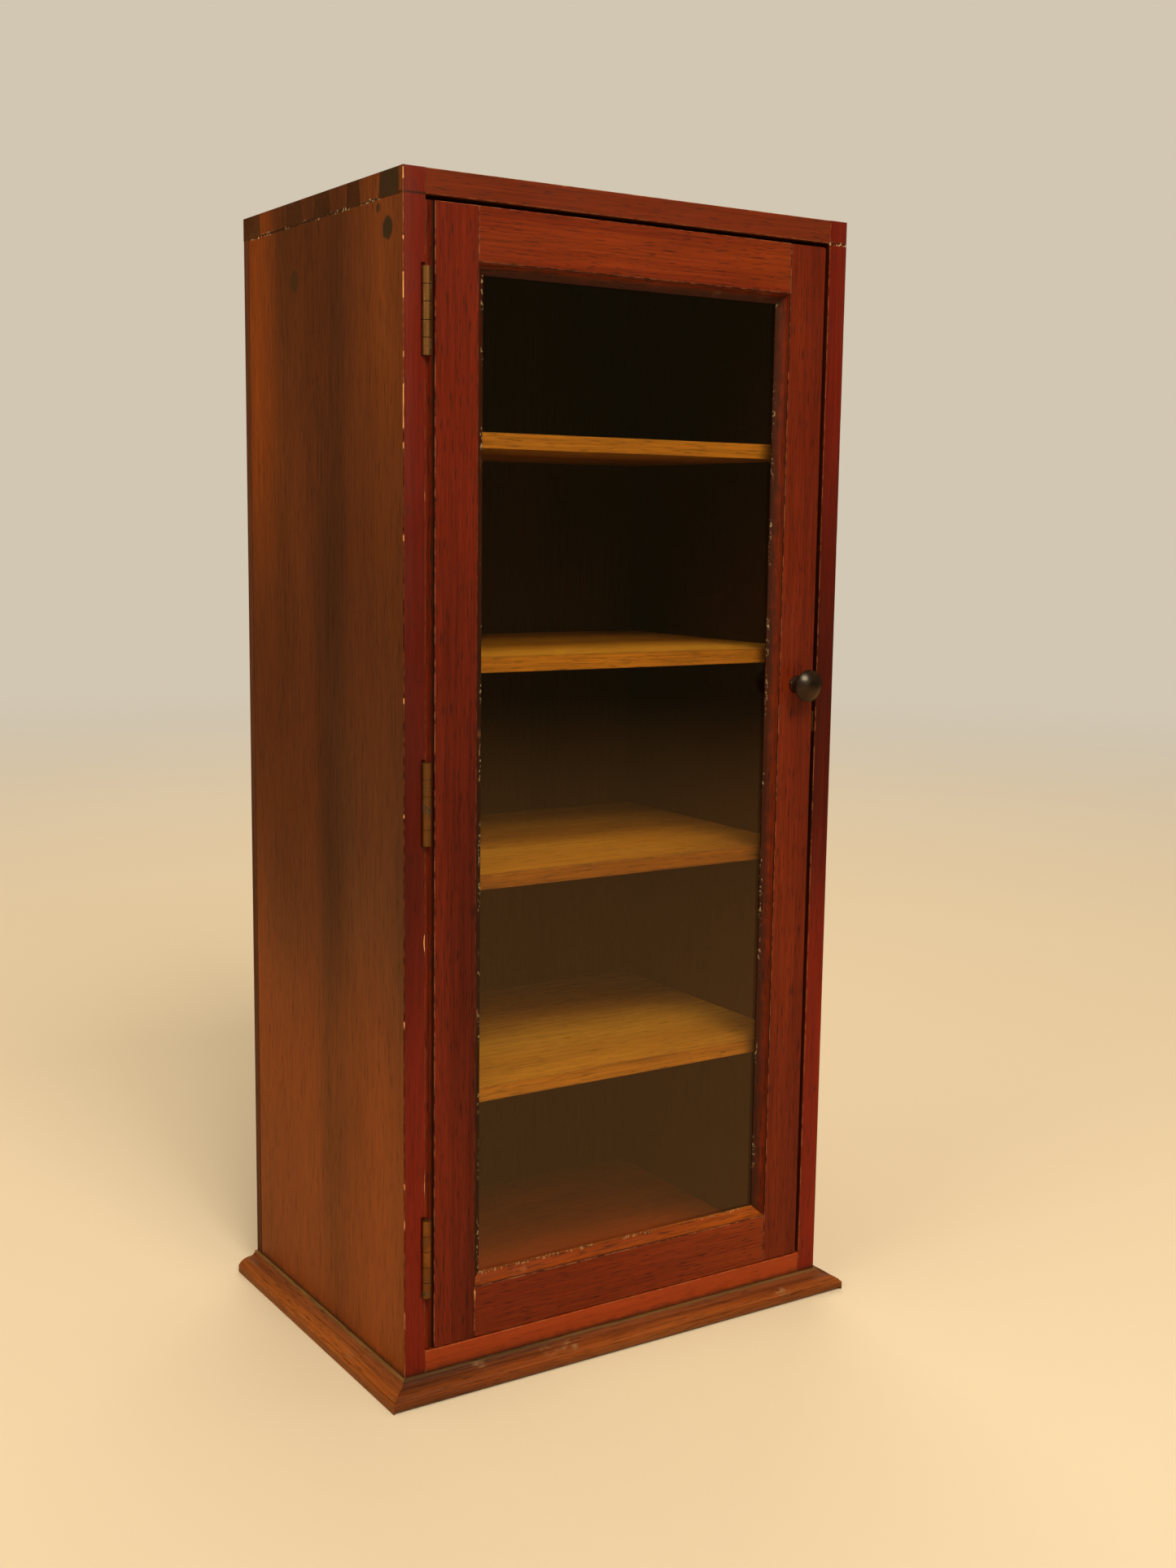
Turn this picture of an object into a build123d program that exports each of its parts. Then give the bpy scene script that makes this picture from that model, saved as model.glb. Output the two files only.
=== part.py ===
from build123d import *
from math import sqrt
import os

# Miniature bookcase: a dovetailed mahogany case with four housed shelves, a moulded plinth and
# one glazed door hung on three brass butt hinges.  Millimetres.
# +Z is up, the front faces -Y, and the origin is on the floor under the middle of the whole piece.

# ---------------------------------------------------------------- driving dimensions
CASE_WIDTH = 248.5
CASE_DEPTH = 178.0
CASE_HEIGHT = 550.0            # from the plinth's top to the top of the case
BOARD_T = 11.0                 # sides, top and bottom
BACK_T = 6.5
SHELF_T = 7.4
SHELF_HEIGHTS = (130.0, 234.0, 337.0, 440.0)   # each shelf's upper face above the plinth
SHELF_SET_BACK = 15.5
HOUSING = 3.0                  # how far shelves and bottom are let into the sides
BOTTOM_STOP = 5.0              # the bottom's housing stops this far behind the front edge
ARRIS = 0.5                    # rounding of the handled edges

PLINTH_HEIGHT = 10.5
PLINTH_PROJECTION = 11.0
PLINTH_UNDER = 17.0            # width of a plinth strip under the case
PLINTH_LIFT = 1.2              # the front strip and the back rail stand clear of the floor

PINS = ((4.0, 22.5), (43.0, 55.5), (74.5, 91.5), (105.5, 123.5), (157.0, CASE_DEPTH))
PIN_FLARE = 1.2                # each hand-cut pin widens by this much on each side towards its root

DOOR_T = 11.0
GAP_HINGE, GAP_LOCK, GAP_TOP, GAP_BOTTOM = 0.4, 2.2, 2.2, 0.5
STILE_HINGE = 26.0             # width up to the sight line, bead included
STILE_LOCK = 22.0
RAIL_TOP = 24.0
RAIL_BOTTOM = 25.4
BEAD_R = 1.7                   # bead run on the hinge stile
QUIRK = 0.8
MOULD_W = 5.0                  # ovolo moulding round the glass
MOULD_D = 5.6
MOULD_STEP = 0.5
TENON_LENGTH, TENON_T, TENON_INSET = 16.0, 3.6, 3.7
TENON_SHOULDER = 1.0           # between the tenon and the glass's sight line
TENON_HAUNCH = 4.0             # between the tenon and the end of the stile
GLASS_T = 2.0
GLASS_GAP = 0.3
PUTTY_DEPTH, PUTTY_WIDTH, PUTTY_LIP = 3.0, 4.4, 0.5

HINGE_HEIGHTS = (57.2, 272.7, 489.8)           # hinge centres above the plinth
HINGE_LENGTH = 38.0
KNUCKLE_R = 2.2
KNUCKLES = 5
KNUCKLE_GAP = 0.1
PIN_R = 0.8
RUNNING_GAP = 0.05             # between the pin and the door leaf's knuckles
LEAF_T = 1.0
LEAF_START, LEAF_END = 2.4, 9.0                # leaf plate, measured back from the pin's axis
AXIS_PROUD = 0.6               # the pin's axis stands this far in front of the case
KNUCKLE_CHOP_X, KNUCKLE_CHOP_Y = 2.3, 1.8
CHOP_OVERRUN = 1.5             # the case's chop runs on above each hinge
CHOP_CLEARANCE = 0.2
HINGE_SCREWS = 3
SCREW_PITCH = 12.6
SCREW_HEAD_R, SCREW_R, SCREW_HEAD_H, SCREW_LENGTH, SCREW_TIP = 1.7, 1.0, 0.8, 8.0, 1.6
SCREW_TIP_R = 0.2
SLOT_W, SLOT_D = 0.45, 0.4

KNOB_HEIGHT = 319.2            # above the plinth
KNOB_LENGTH = 14.0
KNOB_SCREW_R, KNOB_SCREW_HEAD_R, KNOB_SCREW_HEAD_H, KNOB_SCREW_LENGTH = 1.5, 2.9, 1.4, 19.0

CATCH_HEIGHT = 299.3           # ball catch, above the plinth
CATCH_DEPTH = 5.5              # behind the door's face
BALL_R = 1.6
BALL_SINK = 0.5                # the ball's centre sits this far inside the flange's face
BARREL_R, BARREL_LENGTH, BARREL_WALL_END = 2.3, 9.5, 0.8
FLANGE_R, FLANGE_T, FLANGE_PROUD = 2.8, 1.1, 0.7
BALL_CLEARANCE = 0.05
SPRING_R, SPRING_WIRE, SPRING_GAP = 1.4, 0.35, 0.02
STRIKE_T, STRIKE_W, STRIKE_H, STRIKE_HOLE_R = 0.8, 8.0, 11.0, 1.4
STRIKE_PIN_R, STRIKE_PIN_HEAD_R, STRIKE_PIN_HEAD_H, STRIKE_PIN_LENGTH = 0.45, 0.8, 0.4, 6.0
STRIKE_PIN_PITCH = 8.0

BRAD_R, BRAD_HEAD_R, BRAD_HEAD_H, BRAD_LENGTH = 0.6, 1.2, 0.5, 16.0
SIDE_BRADS = 7
SIDE_BRAD_END = 25.0           # from the board's end to the first brad
BOTTOM_BRADS = 3
PLINTH_BRAD_LENGTH, PLINTH_BRAD_SINK = 16.5, 0.5
PLINTH_BRAD_END = 28.0         # from the case's front and back, in the side strips
PLINTH_BRAD_INSET = 9.0        # behind the case's front, in the front strip

STOP_LENGTH, STOP_T, STOP_H = 30.0, 4.0, 6.0   # door stop blocks
STOP_GAP = 0.3
STOP_OFFSET = 10.0             # from the right side
EPS = 1.0                      # how far a cut runs past a face

# ---------------------------------------------------------------- places worked out from them
HALF_W = CASE_WIDTH / 2
FRONT = KNOB_LENGTH - (CASE_DEPTH + KNOB_LENGTH) / 2     # y of the case's front edges
BACK = FRONT + CASE_DEPTH
CASE_Z0 = PLINTH_HEIGHT
CASE_Z1 = CASE_Z0 + CASE_HEIGHT
INNER_X = HALF_W - BOARD_T
SIDE_BACK = BACK - BACK_T
UNDER_TOP = CASE_Z1 - BOARD_T
SHELF_FRONT = FRONT + SHELF_SET_BACK

DOOR_X0, DOOR_X1 = -INNER_X + GAP_HINGE, INNER_X - GAP_LOCK
DOOR_Z0, DOOR_Z1 = CASE_Z0 + BOARD_T + GAP_BOTTOM, UNDER_TOP - GAP_TOP
DOOR_BACK = FRONT + DOOR_T
SIGHT_X0, SIGHT_X1 = DOOR_X0 + STILE_HINGE, DOOR_X1 - STILE_LOCK
SIGHT_Z0, SIGHT_Z1 = DOOR_Z0 + RAIL_BOTTOM, DOOR_Z1 - RAIL_TOP
GLASS_Y0 = FRONT + MOULD_D
GLASS_Y1 = GLASS_Y0 + GLASS_T

PIVOT_X = -INNER_X + GAP_HINGE / 2
PIVOT_Y = FRONT - AXIS_PROUD
KNOB_X = DOOR_X1 - STILE_LOCK / 2
KNOB_Z = CASE_Z0 + KNOB_HEIGHT
CATCH_Z = CASE_Z0 + CATCH_HEIGHT
CATCH_Y = FRONT + CATCH_DEPTH
FLANGE_FACE = DOOR_X1 + FLANGE_PROUD
BALL_X = FLANGE_FACE - BALL_SINK

SEAT = (Align.CENTER, Align.CENTER, Align.MIN)

os.makedirs("parts", exist_ok=True)


# ---------------------------------------------------------------- shared features
def block(x0, x1, y0, y1, z0, z1, mode=Mode.ADD):
    """A rectangular block between two corners, in the part being built."""
    with Locations(((x0 + x1) / 2, (y0 + y1) / 2, (z0 + z1) / 2)):
        Box(x1 - x0, y1 - y0, z1 - z0, mode=mode)


def prism_xz(points, y0, y1, mode=Mode.ADD):
    """A prism whose outline lies in the XZ plane, from y0 back to y1."""
    with BuildSketch(Plane(origin=(0, y0, 0), x_dir=(1, 0, 0), z_dir=(0, -1, 0))) as outline:
        with BuildLine():
            Polyline(*points, close=True)
        make_face()
    extrude(outline.sketch, amount=-(y1 - y0), mode=mode)


def screws(seats, head_r, shank_r, head_h, length, mode=Mode.ADD):
    """Countersunk screws; each seat's Z axis points into the wood."""
    with Locations(*seats):
        Cone(head_r, shank_r, head_h, align=SEAT, mode=mode)
    with Locations(*[seat.offset(head_h) for seat in seats]):
        Cylinder(shank_r, length - head_h - SCREW_TIP, align=SEAT, mode=mode)
    with Locations(*[seat.offset(length - SCREW_TIP) for seat in seats]):
        Cone(shank_r, SCREW_TIP_R, SCREW_TIP, align=SEAT, mode=mode)


def screw_slots(seats, head_r):
    """The driver slot across each screw head."""
    with Locations(*seats):
        Box(2 * head_r + EPS, SLOT_W, 2 * SLOT_D, mode=Mode.SUBTRACT)


def brads(seats, length, mode=Mode.ADD):
    """Flat-headed brads; each seat's Z axis points into the wood."""
    with Locations(*seats):
        Cylinder(BRAD_HEAD_R, BRAD_HEAD_H, align=SEAT, mode=mode)
    with Locations(*[seat.offset(BRAD_HEAD_H) for seat in seats]):
        Cylinder(BRAD_R, length - BRAD_HEAD_H, align=SEAT, mode=mode)


def dovetail_pins(x_from, mode):
    """The pins at one end of the top board, or their sockets in a side."""
    for y_near, y_far in PINS:
        near_flare = 0 if y_near == PINS[0][0] else PIN_FLARE
        far_flare = 0 if y_far == CASE_DEPTH else PIN_FLARE
        with BuildSketch(Plane.YZ.offset(x_from)) as pin:
            with BuildLine():
                Polyline(
                    (FRONT + y_near, CASE_Z1),
                    (FRONT + y_far, CASE_Z1),
                    (FRONT + y_far + far_flare, UNDER_TOP),
                    (FRONT + y_near - near_flare, UNDER_TOP),
                    close=True,
                )
            make_face()
        extrude(pin.sketch, amount=BOARD_T, mode=mode)


def edges_at(part, direction, *limits):
    """Edges along one axis that lie at the given (axis, position) pairs."""
    found = part.edges().filter_by(direction)
    for axis, position in limits:
        found = found.filter_by_position(axis, position - 0.01, position + 0.01)
    return found


# Places of the repeated fasteners
hinge_z = [CASE_Z0 + height for height in HINGE_HEIGHTS]
screw_y = PIVOT_Y + (LEAF_START + LEAF_END) / 2
screw_rows = [
    z + SCREW_PITCH * (row - (HINGE_SCREWS - 1) / 2) for z in hinge_z for row in range(HINGE_SCREWS)
]
case_screw_seats = [Plane(origin=(-INNER_X, screw_y, z), z_dir=(-1, 0, 0)) for z in screw_rows]
door_screw_seats = [Plane(origin=(DOOR_X0, screw_y, z), z_dir=(1, 0, 0)) for z in screw_rows]

brad_pitch = (CASE_HEIGHT - BOARD_T - 2 * SIDE_BRAD_END) / (SIDE_BRADS - 1)
back_brad_seats = [
    Plane(
        origin=(side * (HALF_W - BOARD_T / 2), BACK, CASE_Z0 + SIDE_BRAD_END + brad_pitch * i),
        z_dir=(0, -1, 0),
    )
    for side in (-1, 1)
    for i in range(SIDE_BRADS)
] + [
    Plane(origin=(CASE_WIDTH / 4 * (i - 1), BACK, CASE_Z0 + BOARD_T / 2), z_dir=(0, -1, 0))
    for i in range(BOTTOM_BRADS)
]
plinth_brad_seats = [
    Plane(origin=(side * (HALF_W - BOARD_T / 2), y, PLINTH_BRAD_SINK), z_dir=(0, 0, 1))
    for side in (-1, 1)
    for y in (FRONT + PLINTH_BRAD_END, (FRONT + BACK) / 2, BACK - PLINTH_BRAD_END)
] + [
    Plane(origin=(x, FRONT + PLINTH_BRAD_INSET, PLINTH_LIFT + PLINTH_BRAD_SINK), z_dir=(0, 0, 1))
    for x in (-CASE_WIDTH / 4, CASE_WIDTH / 4)
]
strike_pin_seats = [
    Plane(origin=(INNER_X - STRIKE_T, CATCH_Y, CATCH_Z + side * STRIKE_PIN_PITCH / 2), z_dir=(1, 0, 0))
    for side in (-1, 1)
]
knob_screw_seat = Plane(origin=(KNOB_X, DOOR_BACK, KNOB_Z), z_dir=(0, -1, 0))


# ---------------------------------------------------------------- case sides
def side_board(inner, outer):
    """One side: dovetail sockets on top, housings for the shelves and the bottom."""
    x0, x1 = min(inner, outer), max(inner, outer)
    inward = 1 if inner > outer else -1
    floor_x = inner - inward * HOUSING          # bottom of a housing
    block(x0, x1, FRONT, SIDE_BACK, CASE_Z0, CASE_Z1)
    dovetail_pins(x0, Mode.SUBTRACT)
    h0, h1 = min(inner + inward * EPS, floor_x), max(inner + inward * EPS, floor_x)
    for height in SHELF_HEIGHTS:
        top = CASE_Z0 + height
        block(h0, h1, SHELF_FRONT, SIDE_BACK + EPS, top - SHELF_T, top, Mode.SUBTRACT)
    block(
        h0, h1, FRONT + BOTTOM_STOP, SIDE_BACK + EPS, CASE_Z0 - EPS, CASE_Z0 + BOARD_T, Mode.SUBTRACT
    )
    brads(back_brad_seats, BRAD_LENGTH, Mode.SUBTRACT)
    brads(plinth_brad_seats, PLINTH_BRAD_LENGTH, Mode.SUBTRACT)


with BuildPart() as side_left:
    side_board(-INNER_X, -HALF_W)
    # gains for the hinge leaves and chops for the knuckles
    for z in hinge_z:
        z0, z1 = z - HINGE_LENGTH / 2, z + HINGE_LENGTH / 2
        block(-INNER_X - LEAF_T, -INNER_X + EPS, FRONT - EPS, PIVOT_Y + LEAF_END, z0, z1, Mode.SUBTRACT)
        block(
            -INNER_X - KNUCKLE_CHOP_X, -INNER_X + EPS, FRONT - EPS, FRONT + KNUCKLE_CHOP_Y,
            z0 - CHOP_CLEARANCE, z1 + CHOP_OVERRUN, Mode.SUBTRACT,
        )
    screws(case_screw_seats, SCREW_HEAD_R, SCREW_R, SCREW_HEAD_H, SCREW_LENGTH, Mode.SUBTRACT)
    fillet(edges_at(side_left, Axis.Z, (Axis.X, -HALF_W)), ARRIS)
side_left.part.label = "side_left"
export_step(side_left.part, "parts/side_left.step")

with BuildPart() as side_right:
    side_board(INNER_X, HALF_W)
    with Locations(*[seat.offset(STRIKE_T) for seat in strike_pin_seats]):
        Cylinder(STRIKE_PIN_R, STRIKE_PIN_LENGTH - STRIKE_T, align=SEAT, mode=Mode.SUBTRACT)
    fillet(edges_at(side_right, Axis.Z, (Axis.X, HALF_W)), ARRIS)
side_right.part.label = "side_right"
export_step(side_right.part, "parts/side_right.step")

# ---------------------------------------------------------------- top and bottom
with BuildPart() as top_board:
    block(-INNER_X, INNER_X, FRONT, BACK, UNDER_TOP, CASE_Z1)
    dovetail_pins(-HALF_W, Mode.ADD)
    dovetail_pins(INNER_X, Mode.ADD)
top_board.part.label = "top_board"
export_step(top_board.part, "parts/top_board.step")

with BuildPart() as bottom_board:
    block(-INNER_X, INNER_X, FRONT, SIDE_BACK, CASE_Z0, CASE_Z0 + BOARD_T)
    for x in (-INNER_X - HOUSING, INNER_X):
        block(x, x + HOUSING, FRONT + BOTTOM_STOP, SIDE_BACK, CASE_Z0, CASE_Z0 + BOARD_T)
    brads(back_brad_seats, BRAD_LENGTH, Mode.SUBTRACT)
    brads(plinth_brad_seats, PLINTH_BRAD_LENGTH, Mode.SUBTRACT)
bottom_board.part.label = "bottom_board"
export_step(bottom_board.part, "parts/bottom_board.step")

# ---------------------------------------------------------------- back
with BuildPart() as back_panel:
    block(-HALF_W, HALF_W, SIDE_BACK, BACK, CASE_Z0, UNDER_TOP)
    brads(back_brad_seats, BRAD_LENGTH, Mode.SUBTRACT)
    fillet(edges_at(back_panel, Axis.Z, (Axis.Y, BACK)), ARRIS)
back_panel.part.label = "back_panel"
export_step(back_panel.part, "parts/back_panel.step")

# ---------------------------------------------------------------- shelves, lowest first
for number, height in enumerate(SHELF_HEIGHTS, start=1):
    top = CASE_Z0 + height
    reach = INNER_X + HOUSING
    with BuildPart() as shelf:
        block(-reach, reach, SHELF_FRONT, SIDE_BACK, top - SHELF_T, top)
        fillet(edges_at(shelf, Axis.X, (Axis.Y, SHELF_FRONT)), ARRIS / 2)
    shelf.part.label = f"shelf_{number}"
    export_step(shelf.part, f"parts/shelf_{number}.step")


# ---------------------------------------------------------------- plinth
def plinth_section(plane, bottom):
    """The strip's section: outwards is the plane's X, up is its Y, zero at the case's face."""
    flat, nose, nose_top = 1.3, 0.9, 5.2
    shoulder_x, shoulder_drop, shoulder_r = 3.9, 2.8, 3.0
    cove_r = 9.0
    with BuildSketch(plane) as section:
        with BuildLine():
            Polyline(
                (flat, PLINTH_HEIGHT),
                (-PLINTH_UNDER, PLINTH_HEIGHT),
                (-PLINTH_UNDER, bottom),
                (PLINTH_PROJECTION, bottom),
                (PLINTH_PROJECTION, nose_top - nose),
            )
            # a shallow cove runs from the rounded nose up to the rounded shoulder
            low = (PLINTH_PROJECTION - nose, nose_top)
            high = (shoulder_x, PLINTH_HEIGHT - shoulder_drop)
            RadiusArc((PLINTH_PROJECTION, nose_top - nose), low, nose)
            RadiusArc(low, high, -cove_r)
            RadiusArc(high, (flat, PLINTH_HEIGHT), shoulder_r)
        make_face()
    return section.sketch


corner = {-1: (-HALF_W, FRONT), 1: (HALF_W, FRONT)}


def mitre(side):
    """The upright plane through a front corner of the case, facing its side strip."""
    x, y = corner[side]
    return Plane(origin=(x, y, 0), x_dir=(side, -1, 0), z_dir=(side, 1, 0))


STRIP_FRONT = FRONT - PLINTH_PROJECTION
for side, name in ((-1, "plinth_left"), (1, "plinth_right")):
    with BuildPart() as strip:
        end = Plane(origin=(side * HALF_W, BACK, 0), x_dir=(side, 0, 0), z_dir=(0, -side, 0))
        extrude(plinth_section(end, 0), amount=side * (BACK - STRIP_FRONT))
        split(bisect_by=mitre(side), keep=Keep.TOP)
        brads(plinth_brad_seats, PLINTH_BRAD_LENGTH, Mode.SUBTRACT)
    strip.part.label = name
    export_step(strip.part, f"parts/{name}.step")

with BuildPart() as plinth_front:
    strip_half = HALF_W + PLINTH_PROJECTION
    end = Plane(origin=(-strip_half, FRONT, 0), x_dir=(0, -1, 0), z_dir=(-1, 0, 0))
    extrude(plinth_section(end, PLINTH_LIFT), amount=-2 * strip_half)
    for side in (-1, 1):
        split(bisect_by=mitre(side), keep=Keep.BOTTOM)
    brads(plinth_brad_seats, PLINTH_BRAD_LENGTH, Mode.SUBTRACT)
plinth_front.part.label = "plinth_front"
export_step(plinth_front.part, "parts/plinth_front.step")

with BuildPart() as plinth_back_rail:
    reach = HALF_W - PLINTH_UNDER
    block(-reach, reach, BACK - PLINTH_UNDER, BACK, PLINTH_LIFT, PLINTH_HEIGHT)
plinth_back_rail.part.label = "plinth_back_rail"
export_step(plinth_back_rail.part, "parts/plinth_back_rail.step")

# ---------------------------------------------------------------- door stops
for name, z0 in (("door_stop_top", UNDER_TOP - STOP_H), ("door_stop_bottom", CASE_Z0 + BOARD_T)):
    with BuildPart() as stop:
        x1 = INNER_X - STOP_OFFSET
        block(x1 - STOP_LENGTH, x1, DOOR_BACK + STOP_GAP, DOOR_BACK + STOP_T, z0, z0 + STOP_H)
        fillet(edges_at(stop, Axis.Z), ARRIS)
    stop.part.label = name
    export_step(stop.part, f"parts/{name}.step")


# ---------------------------------------------------------------- door frame
def mould_section(plane):
    """Ovolo round the glass: X runs inwards from the sight line, Y back from the door's face."""
    with BuildSketch(plane) as section:
        with BuildLine():
            Polyline((0, MOULD_STEP), (0, MOULD_D), (MOULD_W, MOULD_D), (MOULD_W, MOULD_D - MOULD_STEP))
            RadiusArc((MOULD_W, MOULD_D - MOULD_STEP), (MOULD_STEP, MOULD_STEP), -MOULD_W)
            Line((MOULD_STEP, MOULD_STEP), (0, MOULD_STEP))
        make_face()
    return section.sketch


def mould_ends(corners):
    """Cuts the mitres at the ends of a moulding; each corner is a triangle in XZ."""
    for triangle in corners:
        prism_xz(triangle, FRONT - EPS, GLASS_Y0 + EPS, Mode.SUBTRACT)


# height of the tenons at the top and at the bottom of the door
TOP_TENON = (SIGHT_Z1 + TENON_SHOULDER, DOOR_Z1 - TENON_HAUNCH)
BOTTOM_TENON = (DOOR_Z0 + TENON_HAUNCH, SIGHT_Z0 - TENON_SHOULDER)


def tenon(x0, x1, heights, mode):
    """A rail's tenon, or its mortise in a stile."""
    y0 = FRONT + TENON_INSET
    block(x0, x1, y0, y0 + TENON_T, *heights, mode)


def up_from(x, inward):
    """A plane at the bottom of the sight line whose X points inwards and Y points back."""
    return Plane(origin=(x, FRONT, SIGHT_Z0), x_dir=(inward, 0, 0), z_dir=(0, 0, inward))


with BuildPart() as stile_hinge:
    # the bead is a half round at the corner, with a quirk beside it
    with BuildSketch(Plane(origin=(DOOR_X0, FRONT, DOOR_Z0), x_dir=(1, 0, 0), z_dir=(0, 0, 1))):
        with BuildLine():
            Line((0, DOOR_T), (0, BEAD_R))
            RadiusArc((0, BEAD_R), (BEAD_R, 0), BEAD_R)
            RadiusArc((BEAD_R, 0), (2 * BEAD_R, BEAD_R), BEAD_R)
            Polyline(
                (2 * BEAD_R, BEAD_R),
                (2 * BEAD_R + QUIRK, BEAD_R),
                (2 * BEAD_R + QUIRK, 0),
                (STILE_HINGE, 0),
                (STILE_HINGE, DOOR_T),
                (0, DOOR_T),
            )
        make_face()
    extrude(amount=DOOR_Z1 - DOOR_Z0)
    extrude(mould_section(up_from(SIGHT_X0, 1)), amount=SIGHT_Z1 - SIGHT_Z0)
    mould_ends([
        [(SIGHT_X0, SIGHT_Z0), (SIGHT_X0 + MOULD_W + EPS, SIGHT_Z0),
         (SIGHT_X0 + MOULD_W + EPS, SIGHT_Z0 + MOULD_W + EPS)],
        [(SIGHT_X0, SIGHT_Z1), (SIGHT_X0 + MOULD_W + EPS, SIGHT_Z1),
         (SIGHT_X0 + MOULD_W + EPS, SIGHT_Z1 - MOULD_W - EPS)],
    ])
    for heights in (TOP_TENON, BOTTOM_TENON):
        tenon(SIGHT_X0 - TENON_LENGTH, SIGHT_X0 + EPS, heights, Mode.SUBTRACT)
    # gains for the door leaves and chops for the knuckles
    for z in hinge_z:
        z0, z1 = z - HINGE_LENGTH / 2, z + HINGE_LENGTH / 2
        block(DOOR_X0 - EPS, DOOR_X0 + LEAF_T, FRONT - EPS, PIVOT_Y + LEAF_END, z0, z1, Mode.SUBTRACT)
        block(
            DOOR_X0 - EPS, DOOR_X0 + KNUCKLE_CHOP_X, FRONT - EPS, FRONT + KNUCKLE_CHOP_Y,
            z0 - CHOP_CLEARANCE, z1 + CHOP_CLEARANCE, Mode.SUBTRACT,
        )
    screws(door_screw_seats, SCREW_HEAD_R, SCREW_R, SCREW_HEAD_H, SCREW_LENGTH, Mode.SUBTRACT)
stile_hinge.part.label = "stile_hinge"
export_step(stile_hinge.part, "parts/stile_hinge.step")

with BuildPart() as stile_lock:
    block(SIGHT_X1, DOOR_X1, FRONT, DOOR_BACK, DOOR_Z0, DOOR_Z1)
    # the free corners and the face arris are rounded by handling
    fillet(edges_at(stile_lock, Axis.Y, (Axis.X, DOOR_X1)), 3 * ARRIS)
    fillet(edges_at(stile_lock, Axis.Z, (Axis.X, DOOR_X1), (Axis.Y, FRONT)), ARRIS)
    extrude(mould_section(up_from(SIGHT_X1, -1)), amount=-(SIGHT_Z1 - SIGHT_Z0))
    mould_ends([
        [(SIGHT_X1, SIGHT_Z0), (SIGHT_X1 - MOULD_W - EPS, SIGHT_Z0),
         (SIGHT_X1 - MOULD_W - EPS, SIGHT_Z0 + MOULD_W + EPS)],
        [(SIGHT_X1, SIGHT_Z1), (SIGHT_X1 - MOULD_W - EPS, SIGHT_Z1),
         (SIGHT_X1 - MOULD_W - EPS, SIGHT_Z1 - MOULD_W - EPS)],
    ])
    for heights in (TOP_TENON, BOTTOM_TENON):
        tenon(SIGHT_X1 - EPS, SIGHT_X1 + TENON_LENGTH, heights, Mode.SUBTRACT)
    # hole for the knob's screw, and the stepped bore for the catch
    with Locations(knob_screw_seat):
        Cone(KNOB_SCREW_HEAD_R, KNOB_SCREW_R, KNOB_SCREW_HEAD_H, align=SEAT, mode=Mode.SUBTRACT)
        Cylinder(KNOB_SCREW_R, DOOR_T, align=SEAT, mode=Mode.SUBTRACT)
    with Locations(Plane(origin=(DOOR_X1, CATCH_Y, CATCH_Z), z_dir=(-1, 0, 0))):
        Cylinder(FLANGE_R, FLANGE_T - FLANGE_PROUD, align=SEAT, mode=Mode.SUBTRACT)
        Cylinder(BARREL_R, BARREL_LENGTH - FLANGE_PROUD, align=SEAT, mode=Mode.SUBTRACT)
stile_lock.part.label = "stile_lock"
export_step(stile_lock.part, "parts/stile_lock.step")

# each rail: its bottom and top, which way the glass lies, the edge at the glass, its tenons
rails = (
    ("rail_top", SIGHT_Z1, DOOR_Z1, -1, SIGHT_Z1, TOP_TENON),
    ("rail_bottom", DOOR_Z0, SIGHT_Z0, 1, SIGHT_Z0, BOTTOM_TENON),
)
for name, z0, z1, inward, sight_z, heights in rails:
    reach = inward * (MOULD_W + EPS)
    with BuildPart() as rail:
        block(SIGHT_X0, SIGHT_X1, FRONT, DOOR_BACK, z0, z1)
        end = Plane(origin=(SIGHT_X0, FRONT, sight_z), x_dir=(0, 0, inward), z_dir=(-inward, 0, 0))
        extrude(mould_section(end), amount=-inward * (SIGHT_X1 - SIGHT_X0))
        mould_ends([
            [(SIGHT_X0, sight_z), (SIGHT_X0, sight_z + reach), (SIGHT_X0 + abs(reach), sight_z + reach)],
            [(SIGHT_X1, sight_z), (SIGHT_X1, sight_z + reach), (SIGHT_X1 - abs(reach), sight_z + reach)],
        ])
        for x0, x1 in ((SIGHT_X0 - TENON_LENGTH, SIGHT_X0), (SIGHT_X1, SIGHT_X1 + TENON_LENGTH)):
            tenon(x0, x1, heights, Mode.ADD)
    rail.part.label = name
    export_step(rail.part, f"parts/{name}.step")

# ---------------------------------------------------------------- glass and its putty
with BuildPart() as glass_pane:
    block(
        SIGHT_X0 + GLASS_GAP, SIGHT_X1 - GLASS_GAP, GLASS_Y0, GLASS_Y1,
        SIGHT_Z0 + GLASS_GAP, SIGHT_Z1 - GLASS_GAP,
    )
glass_pane.part.label = "glass_pane"
export_step(glass_pane.part, "parts/glass_pane.step")

with BuildPart() as glazing_putty:
    sight_w, sight_h = SIGHT_X1 - SIGHT_X0, SIGHT_Z1 - SIGHT_Z0
    centre_x, centre_z = (SIGHT_X0 + SIGHT_X1) / 2, (SIGHT_Z0 + SIGHT_Z1) / 2
    with Locations((centre_x, GLASS_Y1 + PUTTY_DEPTH / 2, centre_z)):
        Box(sight_w, PUTTY_DEPTH, sight_h)
    for y, inset in ((GLASS_Y1, PUTTY_WIDTH), (GLASS_Y1 + PUTTY_DEPTH, PUTTY_LIP)):
        with BuildSketch(Plane(origin=(centre_x, y, centre_z), x_dir=(1, 0, 0), z_dir=(0, -1, 0))):
            Rectangle(sight_w - 2 * inset, sight_h - 2 * inset)
    loft(mode=Mode.SUBTRACT)
glazing_putty.part.label = "glazing_putty"
export_step(glazing_putty.part, "parts/glazing_putty.step")


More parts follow.
